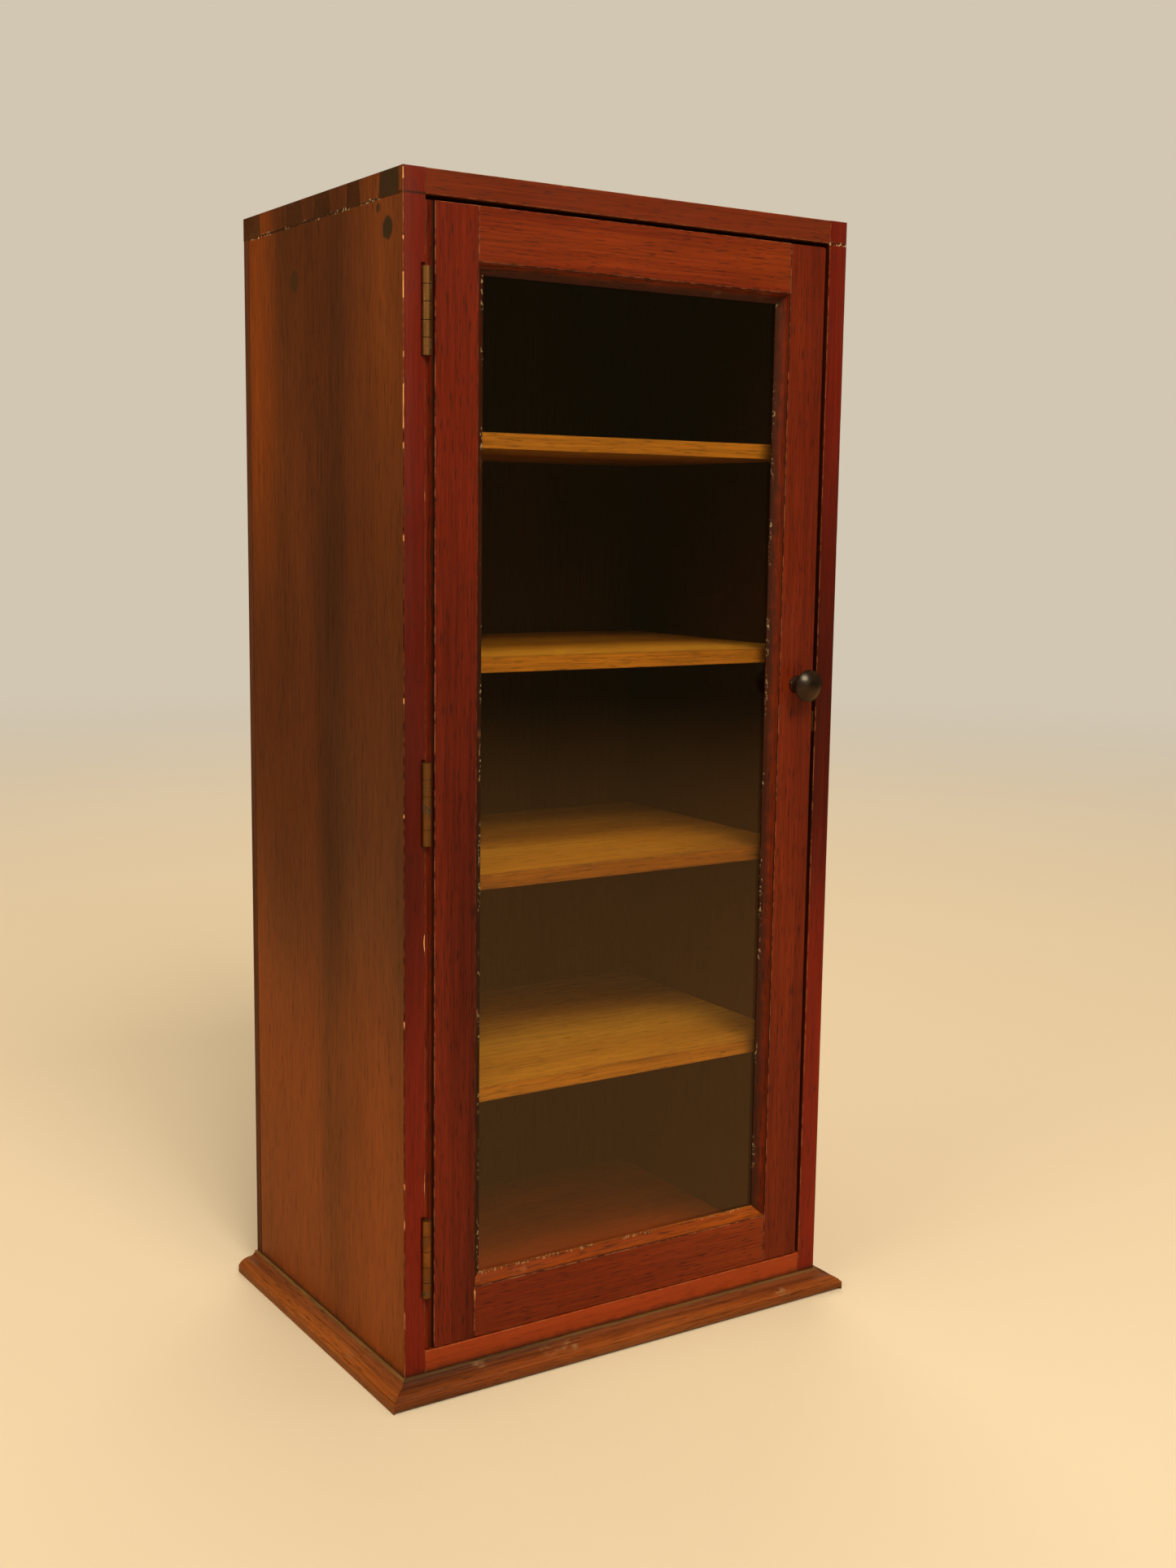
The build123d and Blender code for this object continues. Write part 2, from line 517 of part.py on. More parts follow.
# ---------------------------------------------------------------- hinges
def knuckle_spans(z, first):
    """Heights of every other knuckle of a hinge centred at z, starting from the given one."""
    step = HINGE_LENGTH / KNUCKLES
    bottom = z - HINGE_LENGTH / 2
    return [
        (bottom + step * i + KNUCKLE_GAP / 2, bottom + step * (i + 1) - KNUCKLE_GAP / 2)
        for i in range(first, KNUCKLES, 2)
    ]


def hinge_leaf(z, hand, first, bore_r):
    """One leaf; hand is the side of the pin that its plate lies on."""
    near, far = PIVOT_X + hand * GAP_HINGE / 2, PIVOT_X + hand * (GAP_HINGE / 2 + LEAF_T)
    x0, x1 = min(near, far), max(near, far)
    z0, z1 = z - HINGE_LENGTH / 2, z + HINGE_LENGTH / 2
    block(x0, x1, PIVOT_Y + LEAF_START, PIVOT_Y + LEAF_END, z0, z1)
    for k0, k1 in knuckle_spans(z, first):
        block(x0, x1, PIVOT_Y, PIVOT_Y + LEAF_START, k0, k1)
        with Locations((PIVOT_X, PIVOT_Y, k0)):
            Cylinder(KNUCKLE_R, k1 - k0, align=SEAT)
    for k0, k1 in knuckle_spans(z, first):
        with Locations((PIVOT_X, PIVOT_Y, k0 - EPS / 2)):
            Cylinder(bore_r, k1 - k0 + EPS, align=SEAT, mode=Mode.SUBTRACT)


for number, z in enumerate(hinge_z, start=1):
    with BuildPart() as case_leaf:
        hinge_leaf(z, -1, 0, PIN_R)
        screws(case_screw_seats, SCREW_HEAD_R, SCREW_R, SCREW_HEAD_H, SCREW_LENGTH, Mode.SUBTRACT)
    case_leaf.part.label = f"hinge_case_leaf_{number}"
    export_step(case_leaf.part, f"parts/hinge_case_leaf_{number}.step")

    with BuildPart() as door_leaf:
        hinge_leaf(z, 1, 1, PIN_R + RUNNING_GAP)
        screws(door_screw_seats, SCREW_HEAD_R, SCREW_R, SCREW_HEAD_H, SCREW_LENGTH, Mode.SUBTRACT)
    door_leaf.part.label = f"hinge_door_leaf_{number}"
    export_step(door_leaf.part, f"parts/hinge_door_leaf_{number}.step")

    with BuildPart() as hinge_pin:
        with Locations((PIVOT_X, PIVOT_Y, z)):
            Cylinder(PIN_R, HINGE_LENGTH)
    hinge_pin.part.label = f"hinge_pin_{number}"
    export_step(hinge_pin.part, f"parts/hinge_pin_{number}.step")

for name, seats in (("hinge_screws_case", case_screw_seats), ("hinge_screws_door", door_screw_seats)):
    with BuildPart() as hinge_screws:
        screws(seats, SCREW_HEAD_R, SCREW_R, SCREW_HEAD_H, SCREW_LENGTH)
        screw_slots(seats, SCREW_HEAD_R)
    hinge_screws.part.label = name
    export_step(hinge_screws.part, f"parts/{name}.step")

# ---------------------------------------------------------------- knob
with BuildPart() as knob:
    base_r, neck_r, waist_r, rim_r, dome_r = 4.6, 4.1, 5.6, 8.2, 7.6
    base_end, neck_end, waist_end, rim_near, rim_far = -0.8, -2.4, -6.0, -9.4, -10.5
    screw_end = DOOR_T - KNOB_SCREW_LENGTH
    dome_rise = KNOB_LENGTH + rim_far
    dome_sphere_r = (dome_r**2 + dome_rise**2) / (2 * dome_rise)
    # X runs outwards from the axis, -Y forwards from the door's face
    with BuildSketch(Plane(origin=(KNOB_X, FRONT, KNOB_Z), x_dir=(1, 0, 0), z_dir=(0, 0, 1))):
        with BuildLine():
            Polyline((KNOB_SCREW_R, screw_end), (KNOB_SCREW_R, 0), (base_r, 0), (base_r, base_end))
            Spline((base_r, base_end), (neck_r, neck_end), (waist_r, waist_end), (dome_r, rim_near))
            Polyline((dome_r, rim_near), (rim_r, rim_near), (rim_r, rim_far), (dome_r, rim_far))
            RadiusArc((dome_r, rim_far), (0, -KNOB_LENGTH), dome_sphere_r)
            Polyline((0, -KNOB_LENGTH), (0, screw_end), (KNOB_SCREW_R, screw_end))
        make_face()
    revolve(axis=Axis((KNOB_X, FRONT, KNOB_Z), (0, 1, 0)))
knob.part.label = "knob"
export_step(knob.part, "parts/knob.step")

with BuildPart() as knob_screw:
    with Locations(knob_screw_seat):
        Cone(KNOB_SCREW_HEAD_R, KNOB_SCREW_R, KNOB_SCREW_HEAD_H, align=SEAT)
        Cylinder(KNOB_SCREW_R, KNOB_SCREW_LENGTH, align=SEAT)
    screw_slots([knob_screw_seat], KNOB_SCREW_HEAD_R)
knob_screw.part.label = "knob_screw"
export_step(knob_screw.part, "parts/knob_screw.step")

# ---------------------------------------------------------------- ball catch
catch_axis = Plane(origin=(FLANGE_FACE, CATCH_Y, CATCH_Z), z_dir=(-1, 0, 0))
bore_r = BALL_R + BALL_CLEARANCE
with BuildPart() as catch_barrel:
    with Locations(catch_axis):
        Cylinder(FLANGE_R, FLANGE_T, align=SEAT)
        Cylinder(BARREL_R, BARREL_LENGTH, align=SEAT)
        Cylinder(bore_r, BARREL_LENGTH - BARREL_WALL_END, align=SEAT, mode=Mode.SUBTRACT)
catch_barrel.part.label = "catch_barrel"
export_step(catch_barrel.part, "parts/catch_barrel.step")

with BuildPart() as catch_ball:
    with Locations((BALL_X, CATCH_Y, CATCH_Z)):
        Sphere(BALL_R)
catch_ball.part.label = "catch_ball"
export_step(catch_ball.part, "parts/catch_ball.step")

# the spring's outer shape: a sleeve of close coils between the ball and the barrel's end
spring_inner = SPRING_R - SPRING_WIRE
spring_start = BALL_SINK + sqrt(BALL_R**2 - spring_inner**2) + SPRING_GAP
with BuildPart() as catch_spring:
    with Locations(catch_axis.offset(spring_start)):
        spring_length = BARREL_LENGTH - BARREL_WALL_END - spring_start
        Cylinder(SPRING_R, spring_length, align=SEAT)
        Cylinder(spring_inner, spring_length, align=SEAT, mode=Mode.SUBTRACT)
catch_spring.part.label = "catch_spring"
export_step(catch_spring.part, "parts/catch_spring.step")

with BuildPart() as catch_strike:
    block(
        INNER_X - STRIKE_T, INNER_X, CATCH_Y - STRIKE_W / 2, CATCH_Y + STRIKE_W / 2,
        CATCH_Z - STRIKE_H / 2, CATCH_Z + STRIKE_H / 2,
    )
    fillet(edges_at(catch_strike, Axis.X), 2 * ARRIS)
    with Locations(Plane(origin=(INNER_X - STRIKE_T, CATCH_Y, CATCH_Z), z_dir=(1, 0, 0))):
        Cylinder(STRIKE_HOLE_R, STRIKE_T, align=SEAT, mode=Mode.SUBTRACT)
    with Locations(*strike_pin_seats):
        Cylinder(STRIKE_PIN_HEAD_R, STRIKE_PIN_HEAD_H, align=SEAT, mode=Mode.SUBTRACT)
        Cylinder(STRIKE_PIN_R, STRIKE_T, align=SEAT, mode=Mode.SUBTRACT)
catch_strike.part.label = "catch_strike"
export_step(catch_strike.part, "parts/catch_strike.step")

with BuildPart() as strike_pins:
    with Locations(*strike_pin_seats):
        Cylinder(STRIKE_PIN_HEAD_R, STRIKE_PIN_HEAD_H, align=SEAT)
        Cylinder(STRIKE_PIN_R, STRIKE_PIN_LENGTH, align=SEAT)
strike_pins.part.label = "strike_pins"
export_step(strike_pins.part, "parts/strike_pins.step")

# ---------------------------------------------------------------- brads
with BuildPart() as back_brads:
    brads(back_brad_seats, BRAD_LENGTH)
back_brads.part.label = "back_brads"
export_step(back_brads.part, "parts/back_brads.step")

with BuildPart() as plinth_brads:
    brads(plinth_brad_seats, PLINTH_BRAD_LENGTH)
plinth_brads.part.label = "plinth_brads"
export_step(plinth_brads.part, "parts/plinth_brads.step")

print("hinge pin axis at", round(PIVOT_X, 3), round(PIVOT_Y, 3))
print("whole size", round(2 * (HALF_W + PLINTH_PROJECTION), 2), CASE_DEPTH + KNOB_LENGTH, CASE_Z1)
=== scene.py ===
# %% [markdown]
# # A miniature glazed bookcase
# The real thing is a small mahogany case, dovetailed at the top, with oak shelves, a hinged glass
# door and a moulded plinth.  The imported CAD model gives every size and place.  This script
# adds what a maker's hand and a hundred years of use add: grain, polish, rubbed arrises, old brass.
# It also paints some light and shade into the woods.

import math

import bmesh
import bpy
from mathutils import Matrix, Vector, noise


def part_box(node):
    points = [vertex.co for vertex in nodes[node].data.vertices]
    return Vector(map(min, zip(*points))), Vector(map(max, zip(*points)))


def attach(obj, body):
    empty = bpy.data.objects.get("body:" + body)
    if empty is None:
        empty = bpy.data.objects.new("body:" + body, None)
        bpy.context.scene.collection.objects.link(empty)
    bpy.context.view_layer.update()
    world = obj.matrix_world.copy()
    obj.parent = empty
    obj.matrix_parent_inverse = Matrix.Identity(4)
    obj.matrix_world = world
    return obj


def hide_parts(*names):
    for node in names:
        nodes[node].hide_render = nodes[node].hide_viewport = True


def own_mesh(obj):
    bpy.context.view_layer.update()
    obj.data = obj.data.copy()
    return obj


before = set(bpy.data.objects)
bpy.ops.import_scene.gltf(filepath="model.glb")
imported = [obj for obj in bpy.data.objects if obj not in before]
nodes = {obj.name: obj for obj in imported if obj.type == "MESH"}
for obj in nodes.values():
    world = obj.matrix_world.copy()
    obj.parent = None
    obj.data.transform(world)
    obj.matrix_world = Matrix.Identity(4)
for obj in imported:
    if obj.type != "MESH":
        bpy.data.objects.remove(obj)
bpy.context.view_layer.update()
MM = 0.001

# %% [markdown]
# ## Sizes read from the frame
# A pattern such as the dark plugs in the side or the darkening above the plinth has its place on
# the object, so these lines read the main planes from the boards themselves instead of repeating them.

# %% Main planes of the case
side_low, side_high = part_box("side_left")
LEFT, FRONT = side_low.x, side_low.y
CASE_FOOT, CASE_TOP = side_low.z, side_high.z
BOARD = side_high.x - side_low.x
INNER_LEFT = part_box("top_board")[0].x + BOARD
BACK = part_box("back_panel")[1].y
PANE_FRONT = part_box("glass_pane")[0].y
print("case", round(-2 * LEFT / MM, 1), "wide, front at", round(FRONT / MM, 1))

# %% [markdown]
# ## Small helpers for node trees
# Every finish below is a network of the same few steps: stretch the place, read noise, keep a
# band of it, mix two colours.  A named helper for each step keeps the recipes short.


# %% Node helpers
def plug(tree, socket, value):
    """Feeds a socket from another socket, or sets it to a plain value."""
    if isinstance(value, bpy.types.NodeSocket):
        tree.links.new(value, socket)
    elif value is not None:
        socket.default_value = value


def calc(tree, operation, first, second=None, third=None):
    """One Math node."""
    node = tree.nodes.new("ShaderNodeMath")
    node.operation = operation
    for socket, value in zip(node.inputs, (first, second, third)):
        plug(tree, socket, value)
    return node.outputs[0]


def times(tree, first, second):
    """The product of two values."""
    return calc(tree, "MULTIPLY", first, second)


def opposite(tree, value):
    """One minus a value, which turns a mask round."""
    return calc(tree, "SUBTRACT", 1.0, value)


def sway(tree, speckle, amount, base):
    """Adds noise to a value, as much up as down."""
    return calc(tree, "MULTIPLY_ADD", calc(tree, "SUBTRACT", speckle, 0.5), amount, base)


def keep_band(tree, value, low, high):
    """0 below low, 1 above high, and a soft step between."""
    node = tree.nodes.new("ShaderNodeMapRange")
    node.interpolation_type = "SMOOTHSTEP"
    plug(tree, node.inputs["Value"], value)
    plug(tree, node.inputs["From Min"], low)
    plug(tree, node.inputs["From Max"], high)
    return node.outputs["Result"]


def along(tree, place, axis):
    """One coordinate of a place."""
    parts = tree.nodes.new("ShaderNodeSeparateXYZ")
    tree.links.new(place, parts.inputs[0])
    return parts.outputs[axis]


def blend_colour(tree, share, first, second, mode="MIX"):
    """Mixes two colours."""
    node = tree.nodes.new("ShaderNodeMix")
    node.data_type = "RGBA"
    node.blend_type = mode
    plug(tree, node.inputs[0], share)
    plug(tree, node.inputs[6], first)
    plug(tree, node.inputs[7], second)
    return node.outputs[2]


def tint(tree, share, colour, filter_colour):
    """Lays a coloured filter over a colour where share is 1."""
    filtered = blend_colour(tree, 1.0, colour, filter_colour, "MULTIPLY")
    return blend_colour(tree, share, colour, filtered)


def scale_colour(tree, colour, factor):
    """Lightens or darkens a colour."""
    node = tree.nodes.new("ShaderNodeVectorMath")
    node.operation = "SCALE"
    plug(tree, node.inputs[0], colour)
    plug(tree, node.inputs["Scale"], factor)
    return node.outputs[0]


def stretched_noise(tree, place, per_metre, detail=3.0, twist=0.0, shift=(0, 0, 0), turn=(0, 0, 0)):
    """Noise whose patches are 1 / per_metre long on each axis."""
    mapping = tree.nodes.new("ShaderNodeMapping")
    plug(tree, mapping.inputs["Vector"], place)
    mapping.inputs["Scale"].default_value = per_metre
    mapping.inputs["Location"].default_value = shift
    mapping.inputs["Rotation"].default_value = turn
    node = tree.nodes.new("ShaderNodeTexNoise")
    tree.links.new(mapping.outputs[0], node.inputs["Vector"])
    node.inputs["Scale"].default_value = 1.0
    node.inputs["Detail"].default_value = detail
    node.inputs["Distortion"].default_value = twist
    return node.outputs["Fac"]


def even_noise(tree, place, per_metre, detail, shift=(0, 0, 0)):
    """Noise with round patches."""
    return stretched_noise(tree, place, (per_metre, per_metre, per_metre), detail, 0.0, shift)


def mix_shader(tree, share, first, second):
    """Mixes two shaders."""
    node = tree.nodes.new("ShaderNodeMixShader")
    for socket, source in zip(node.inputs, (share, first, second)):
        tree.links.new(source, socket)
    return node.outputs[0]


# %% Groups, materials and objects
KINDS = {
    "colour": "NodeSocketColor", "value": "NodeSocketFloat", "place": "NodeSocketVector",
    "whole": "NodeSocketInt", "coat": "NodeSocketMaterial", "shape": "NodeSocketGeometry",
}


def new_group(name, takes, gives, kind="ShaderNodeTree"):
    """An empty group with named sockets; returns its tree, what it takes and what it gives."""
    tree = bpy.data.node_groups.new(name, kind)
    for socket_name, socket_kind, default in takes:
        socket = tree.interface.new_socket(name=socket_name, in_out="INPUT", socket_type=KINDS[socket_kind])
        if default is not None:
            socket.default_value = default
    for socket_name, socket_kind in gives:
        tree.interface.new_socket(name=socket_name, in_out="OUTPUT", socket_type=KINDS[socket_kind])
    return tree, tree.nodes.new("NodeGroupInput").outputs, tree.nodes.new("NodeGroupOutput").inputs


def use_group(tree, group, **values):
    """Places a group in a material; underscores in the names stand for spaces."""
    node = tree.nodes.new("ShaderNodeGroup")
    node.node_tree = group
    for name, value in values.items():
        plug(tree, node.inputs[name.replace("_", " ")], value)
    return node.outputs


def new_material(name):
    """A new material with its tree, its main shader and the place on the object."""
    material = bpy.data.materials.new(name)
    material.use_nodes = True
    tree = material.node_tree
    here = tree.nodes.new("ShaderNodeTexCoord").outputs["Object"]
    return material, tree, tree.nodes["Principled BSDF"], here


def set_plain(shader, **values):
    """Sets a shader's plain values; underscores in the names stand for spaces."""
    for name, value in values.items():
        shader.inputs[name.replace("_", " ")].default_value = value


def dent(tree, shader, height, distance, strength=1.0):
    """Lays a bump on a shader's normal; distance is in metres."""
    bump = tree.nodes.new("ShaderNodeBump")
    set_plain(bump, Distance=distance, Strength=strength)
    tree.links.new(height, bump.inputs["Height"])
    tree.links.new(bump.outputs[0], shader.inputs["Normal"])


def into_scene(name, data):
    """A new object in the scene."""
    thing = bpy.data.objects.new(name, data)
    bpy.context.scene.collection.objects.link(thing)
    return thing


def add_piece(name, mesh, body, replaced):
    """Puts a finished mesh in the scene, on its body and in place of its CAD node."""
    piece = into_scene(name, mesh)
    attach(piece, body)
    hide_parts(replaced)
    print(name, len(mesh.polygons), "faces")
    return piece


def dress(node, material):
    """Gives a CAD node that stays its finish."""
    nodes[node].data.materials.clear()
    nodes[node].data.materials.append(material)


# %% [markdown]
# ## Camera, light and floor
# The camera stands to the left of the door, a little above the knob, with a normal lens.  The
# light is one large soft source high in front, as under a ceiling light, with weak fill from the
# left.  A pale floor and a pale surround are enough: the room isn't part of the object.

# %% Camera
LENS, SENSOR = 41.34, 36.0
CAMERA_PLACE = Vector((-0.4883, -0.7966, 0.4099))
CAMERA_TURN, CAMERA_DIP, CAMERA_ROLL = math.radians(32.9), math.radians(8.24), math.radians(0.77)
camera_data = bpy.data.cameras.new("camera")
camera_data.lens = LENS
camera_data.sensor_width = SENSOR
camera_data.clip_start = 0.05
camera = into_scene("camera", camera_data)
bpy.context.scene.camera = camera
camera.matrix_world = (
    Matrix.Translation(CAMERA_PLACE)
    @ Matrix.Rotation(-CAMERA_TURN, 4, "Z")
    @ Matrix.Rotation(math.radians(90) - CAMERA_DIP, 4, "X")
    @ Matrix.Rotation(CAMERA_ROLL, 4, "Z")
)
print("camera at", [round(v, 3) for v in CAMERA_PLACE])

# %% Lamps
WARM = (1.0, 0.80, 0.50)
AIM = Vector((0, 0, (CASE_FOOT + CASE_TOP) / 2))
LAMPS = [  # name, degrees round from the front, degrees up, metres away, size, watts
    ("key_lamp", -10, 45, 2.6, 1.1, 56),
    ("left_lamp", -78, 30, 3.0, 1.6, 20),
    ("rear_lamp", 150, 42, 3.2, 1.8, 30),
]
for name, azimuth, height, distance, lamp_size, watts in LAMPS:
    data = bpy.data.lights.new(name, "AREA")
    data.shape = "SQUARE"
    data.size = lamp_size
    data.energy = watts
    data.color = WARM
    turn, rise = math.radians(azimuth), math.radians(height)
    away = Vector((math.sin(turn) * math.cos(rise), -math.cos(turn) * math.cos(rise), math.sin(rise)))
    aimed = away.to_track_quat("Z", "Y").to_matrix().to_4x4()
    into_scene(name, data).matrix_world = Matrix.Translation(AIM + away * distance) @ aimed
    print(name, watts, "W")

# %% [markdown]
# ## The floor fades into the surround
# The far floor runs into the surround like a sheet of backdrop paper, so no horizon shows.  Glass
# and polish would mirror all that pale paper, so a dark rug and a dim surround are laid out that
# only mirrored rays meet, as a black cloth is hung in front of real glass.  The Light Path node
# tells the rays apart.


# %% Kinds of ray
def straight_ray(tree, own_step):
    """1 for a ray that met nothing or only clear glass; the surround counts itself as a step."""
    ray = tree.nodes.new("ShaderNodeLightPath").outputs
    steps = calc(tree, "SUBTRACT", ray["Ray Depth"], own_step)
    same = calc(tree, "COMPARE", steps, ray["Transmission Depth"], 0.5)
    return calc(tree, "MAXIMUM", ray["Is Camera Ray"], same)


def mirrored_ray(tree, own_step):
    """1 for a ray that a shiny surface sent here."""
    ray = tree.nodes.new("ShaderNodeLightPath").outputs
    only = calc(tree, "SUBTRACT", ray["Is Glossy Ray"], straight_ray(tree, own_step))
    only.node.use_clamp = True
    return only


def flat_light(tree, colour):
    """A surface that shows one colour whatever the lamps do."""
    node = tree.nodes.new("ShaderNodeEmission")
    set_plain(node, Color=colour)
    return node.outputs[0]


# %% Floor
SURROUND, DIM = (0.645, 0.57, 0.45, 1), (0.060, 0.048, 0.019, 1)
RUG = (0.62, 0.28, 0.085, 1)
REACH, FADE_FROM, FADE_TO = 9.0, 0.5, 3.6
floor_mesh = bpy.data.meshes.new("floor")
corners = [(x * REACH, y * REACH, 0) for x, y in ((-1, -1), (1, -1), (1, 1), (-1, 1))]
floor_mesh.from_pydata(corners, [], [(0, 1, 2, 3)])
floor_paint, paint, floor_shader, floor_place = new_material("floor_paint")
set_plain(floor_shader, Base_Color=(0.72, 0.67, 0.62, 1), Roughness=0.9, Specular_IOR_Level=0.1)
floor_mesh.materials.append(floor_paint)
into_scene("floor", floor_mesh)
how_far = paint.nodes.new("ShaderNodeVectorMath")
how_far.operation = "LENGTH"
paint.links.new(floor_place, how_far.inputs[0])
fade = keep_band(paint, how_far.outputs["Value"], FADE_FROM, FADE_TO)
far_floor = mix_shader(paint, fade, floor_shader.outputs[0], flat_light(paint, SURROUND))
rug = mix_shader(paint, fade, flat_light(paint, RUG), flat_light(paint, DIM))
covered = mix_shader(paint, mirrored_ray(paint, 0), far_floor, rug)
paint.links.new(covered, paint.nodes["Material Output"].inputs["Surface"])
print("floor", 2 * REACH, "m wide")

# %% Surround
world = bpy.data.worlds.new("surround")
bpy.context.scene.world = world
world.use_nodes = True
sky = world.node_tree
SOFT_GLOW, GLOW_STRENGTH = (0.85, 0.67, 0.42, 1), 0.62


def surround(node, strength, colour):
    """One flat background."""
    set_plain(node, Color=colour, Strength=strength)
    return node.outputs[0]


seen = surround(sky.nodes["Background"], 1.0, SURROUND)
glow = surround(sky.nodes.new("ShaderNodeBackground"), GLOW_STRENGTH, SOFT_GLOW)
dim = surround(sky.nodes.new("ShaderNodeBackground"), 1.0, DIM)
mirrored = mix_shader(sky, mirrored_ray(sky, 1), glow, dim)
shown = mix_shader(sky, straight_ray(sky, 1), mirrored, seen)
sky.links.new(shown, sky.nodes["World Output"].inputs["Surface"])
bpy.context.scene.view_settings.view_transform = "Standard"

# %% [markdown]
# ## The figure of a board
# Mahogany shows three things at three sizes: broad bands a finger wide that come from the rings,
# fine fibres, and short dark pores filled with old polish.  Each is noise stretched along the
# grain.  An image would do, but a solid pattern also runs round a corner and turns into end grain
# by itself, because across the grain the same noise is a fine speckle.

# %% Group: board figure
BROWN = (0.2, 0.05, 0.02, 1)
ON_COLOUR = [("Color", "colour", BROWN), ("Place", "place", None)]
MASKED = [("Color", "colour"), ("Mask", "value")]
PORE_SHADE = 0.28
figure, took, gave = new_group(
    "board_figure",
    [
        ("Place", "place", None), ("Ground", "colour", BROWN), ("Deep", "colour", (0.1, 0.02, 0.01, 1)),
        ("Light", "colour", (0.3, 0.1, 0.03, 1)), ("Streaks", "value", 1.0), ("Fibre", "value", 0.3),
        ("Pores", "value", 0.5),
    ],
    [("Color", "colour"), ("Height", "value"), ("Pores", "value")],
)
place = took["Place"]
broad = stretched_noise(figure, place, (19, 19, 1.5), 1.0, 0.2)
narrow = stretched_noise(figure, place, (420, 420, 8), 4.0, 0.2, (3, 1, 7))
cloud = stretched_noise(figure, place, (11, 11, 6), 2.0, 0.0, (5, 9, 2))
fibre = stretched_noise(figure, place, (1150, 1150, 26), 3.0, 0.0, (1, 2, 3))
dashes = stretched_noise(figure, place, (1500, 1500, 95), 2.0, 0.0, (8, 2, 5))
bands = sway(figure, narrow, 0.55, sway(figure, broad, 2.4, 0.0))
banded = calc(figure, "MULTIPLY_ADD", bands, took["Streaks"], 0.5)
tone = sway(figure, cloud, 0.7, banded)
colour = blend_colour(figure, keep_band(figure, tone, 0.0, 0.5), took["Deep"], took["Ground"])
colour = blend_colour(figure, keep_band(figure, tone, 0.5, 1.05), colour, took["Light"])
fibre_shift = times(figure, calc(figure, "SUBTRACT", fibre, 0.5), took["Fibre"])
colour = scale_colour(figure, colour, calc(figure, "MULTIPLY_ADD", fibre_shift, 3.2, 1.0))
pores = times(figure, keep_band(figure, dashes, 0.56, 0.67), took["Pores"])
colour = blend_colour(figure, pores, colour, scale_colour(figure, colour, PORE_SHADE))
plug(figure, gave["Color"], colour)
plug(figure, gave["Height"], calc(figure, "MULTIPLY_ADD", pores, -1.0, times(figure, fibre, 0.35)))
plug(figure, gave["Pores"], pores)
print("board_figure has", len(figure.nodes), "nodes")

# %% [markdown]
# ## Rubbed arrises
# Hands and dusters wear the polish off the corners first.  The boards below carry an attribute
# named rub on their rounded corners: low along the whole arris and high where a chip was knocked
# out.  The group breaks it up with noise, so that the pale line comes and goes.


# %% Group: rubbed arris
def rub_mark(tree):
    """The rub attribute of the mesh."""
    reader = tree.nodes.new("ShaderNodeAttribute")
    reader.attribute_name = "rub"
    return reader.outputs["Fac"]


rubbing, took, gave = new_group(
    "rubbed_arris",
    ON_COLOUR + [
        ("Worn", "colour", (0.4, 0.12, 0.04, 1)), ("Bare", "colour", (0.7, 0.4, 0.2, 1)),
        ("Amount", "value", 0.6),
    ],
    [("Color", "colour"), ("Bare", "value")],
)
rub = rub_mark(rubbing)
patch = even_noise(rubbing, took["Place"], 260, 3.0)
worn = times(rubbing, keep_band(rubbing, patch, 0.38, 0.62), took["Amount"])
worn = times(rubbing, worn, keep_band(rubbing, rub, 0.05, 0.3))
bare = keep_band(rubbing, calc(rubbing, "MULTIPLY_ADD", patch, 0.35, rub), 0.66, 0.86)
colour = blend_colour(rubbing, worn, took["Color"], took["Worn"])
plug(rubbing, gave["Color"], blend_colour(rubbing, bare, colour, took["Bare"]))
plug(rubbing, gave["Bare"], bare)
print("rubbed_arris has", len(rubbing.nodes), "nodes")

# %% [markdown]
# ## Dirt and painted shade, crumbs, fading and painted light, scratches and plugs
# Wax and soot gather where a duster can't reach, so dirt fades with the distance from a joint, and
# pale crumbs of old wax and putty sit in it; the same dark line is laid beside the glass as painted
# shade.  Scratches are very thin stretched noise, laid at a slant and kept in a few patches.  A plug
# is a dark round spot: a peg or filled hole whose end grain drank more polish.  A side that stood in
# the light is darkest down its middle; its foot and a strip at its back near the top are lightened
# as painted light.


# %% Group: dirt and painted shade beside a joint
def give_masked(tree, gave, took, mask, colour):
    """Ends a group that lays a colour over another one."""
    plug(tree, gave["Color"], blend_colour(tree, mask, took["Color"], colour))
    plug(tree, gave["Mask"], mask)
    print(tree.name, "has", len(tree.nodes), "nodes")


# One dark colour serves as real dirt along joints and as painted shade beside the glass.
dirt_and_shade_line, took, gave = new_group(
    "joint_dirt_and_shade",
    ON_COLOUR + [
        ("Distance", "value", 1.0), ("Width", "value", 4 * MM), ("Dirt", "colour", (0.012, 0.006, 0.0035, 1)),
        ("Amount", "value", 0.7),
    ],
    MASKED,
)
ragged = even_noise(dirt_and_shade_line, took["Place"], 170, 4.0)
reach = times(dirt_and_shade_line, took["Width"], calc(dirt_and_shade_line, "MULTIPLY_ADD", ragged, 1.8, 0.1))
near = opposite(dirt_and_shade_line, calc(dirt_and_shade_line, "DIVIDE", took["Distance"], reach))
mask = times(dirt_and_shade_line, keep_band(dirt_and_shade_line, near, 0.0, 1.0), took["Amount"])
give_masked(dirt_and_shade_line, gave, took, mask, took["Dirt"])

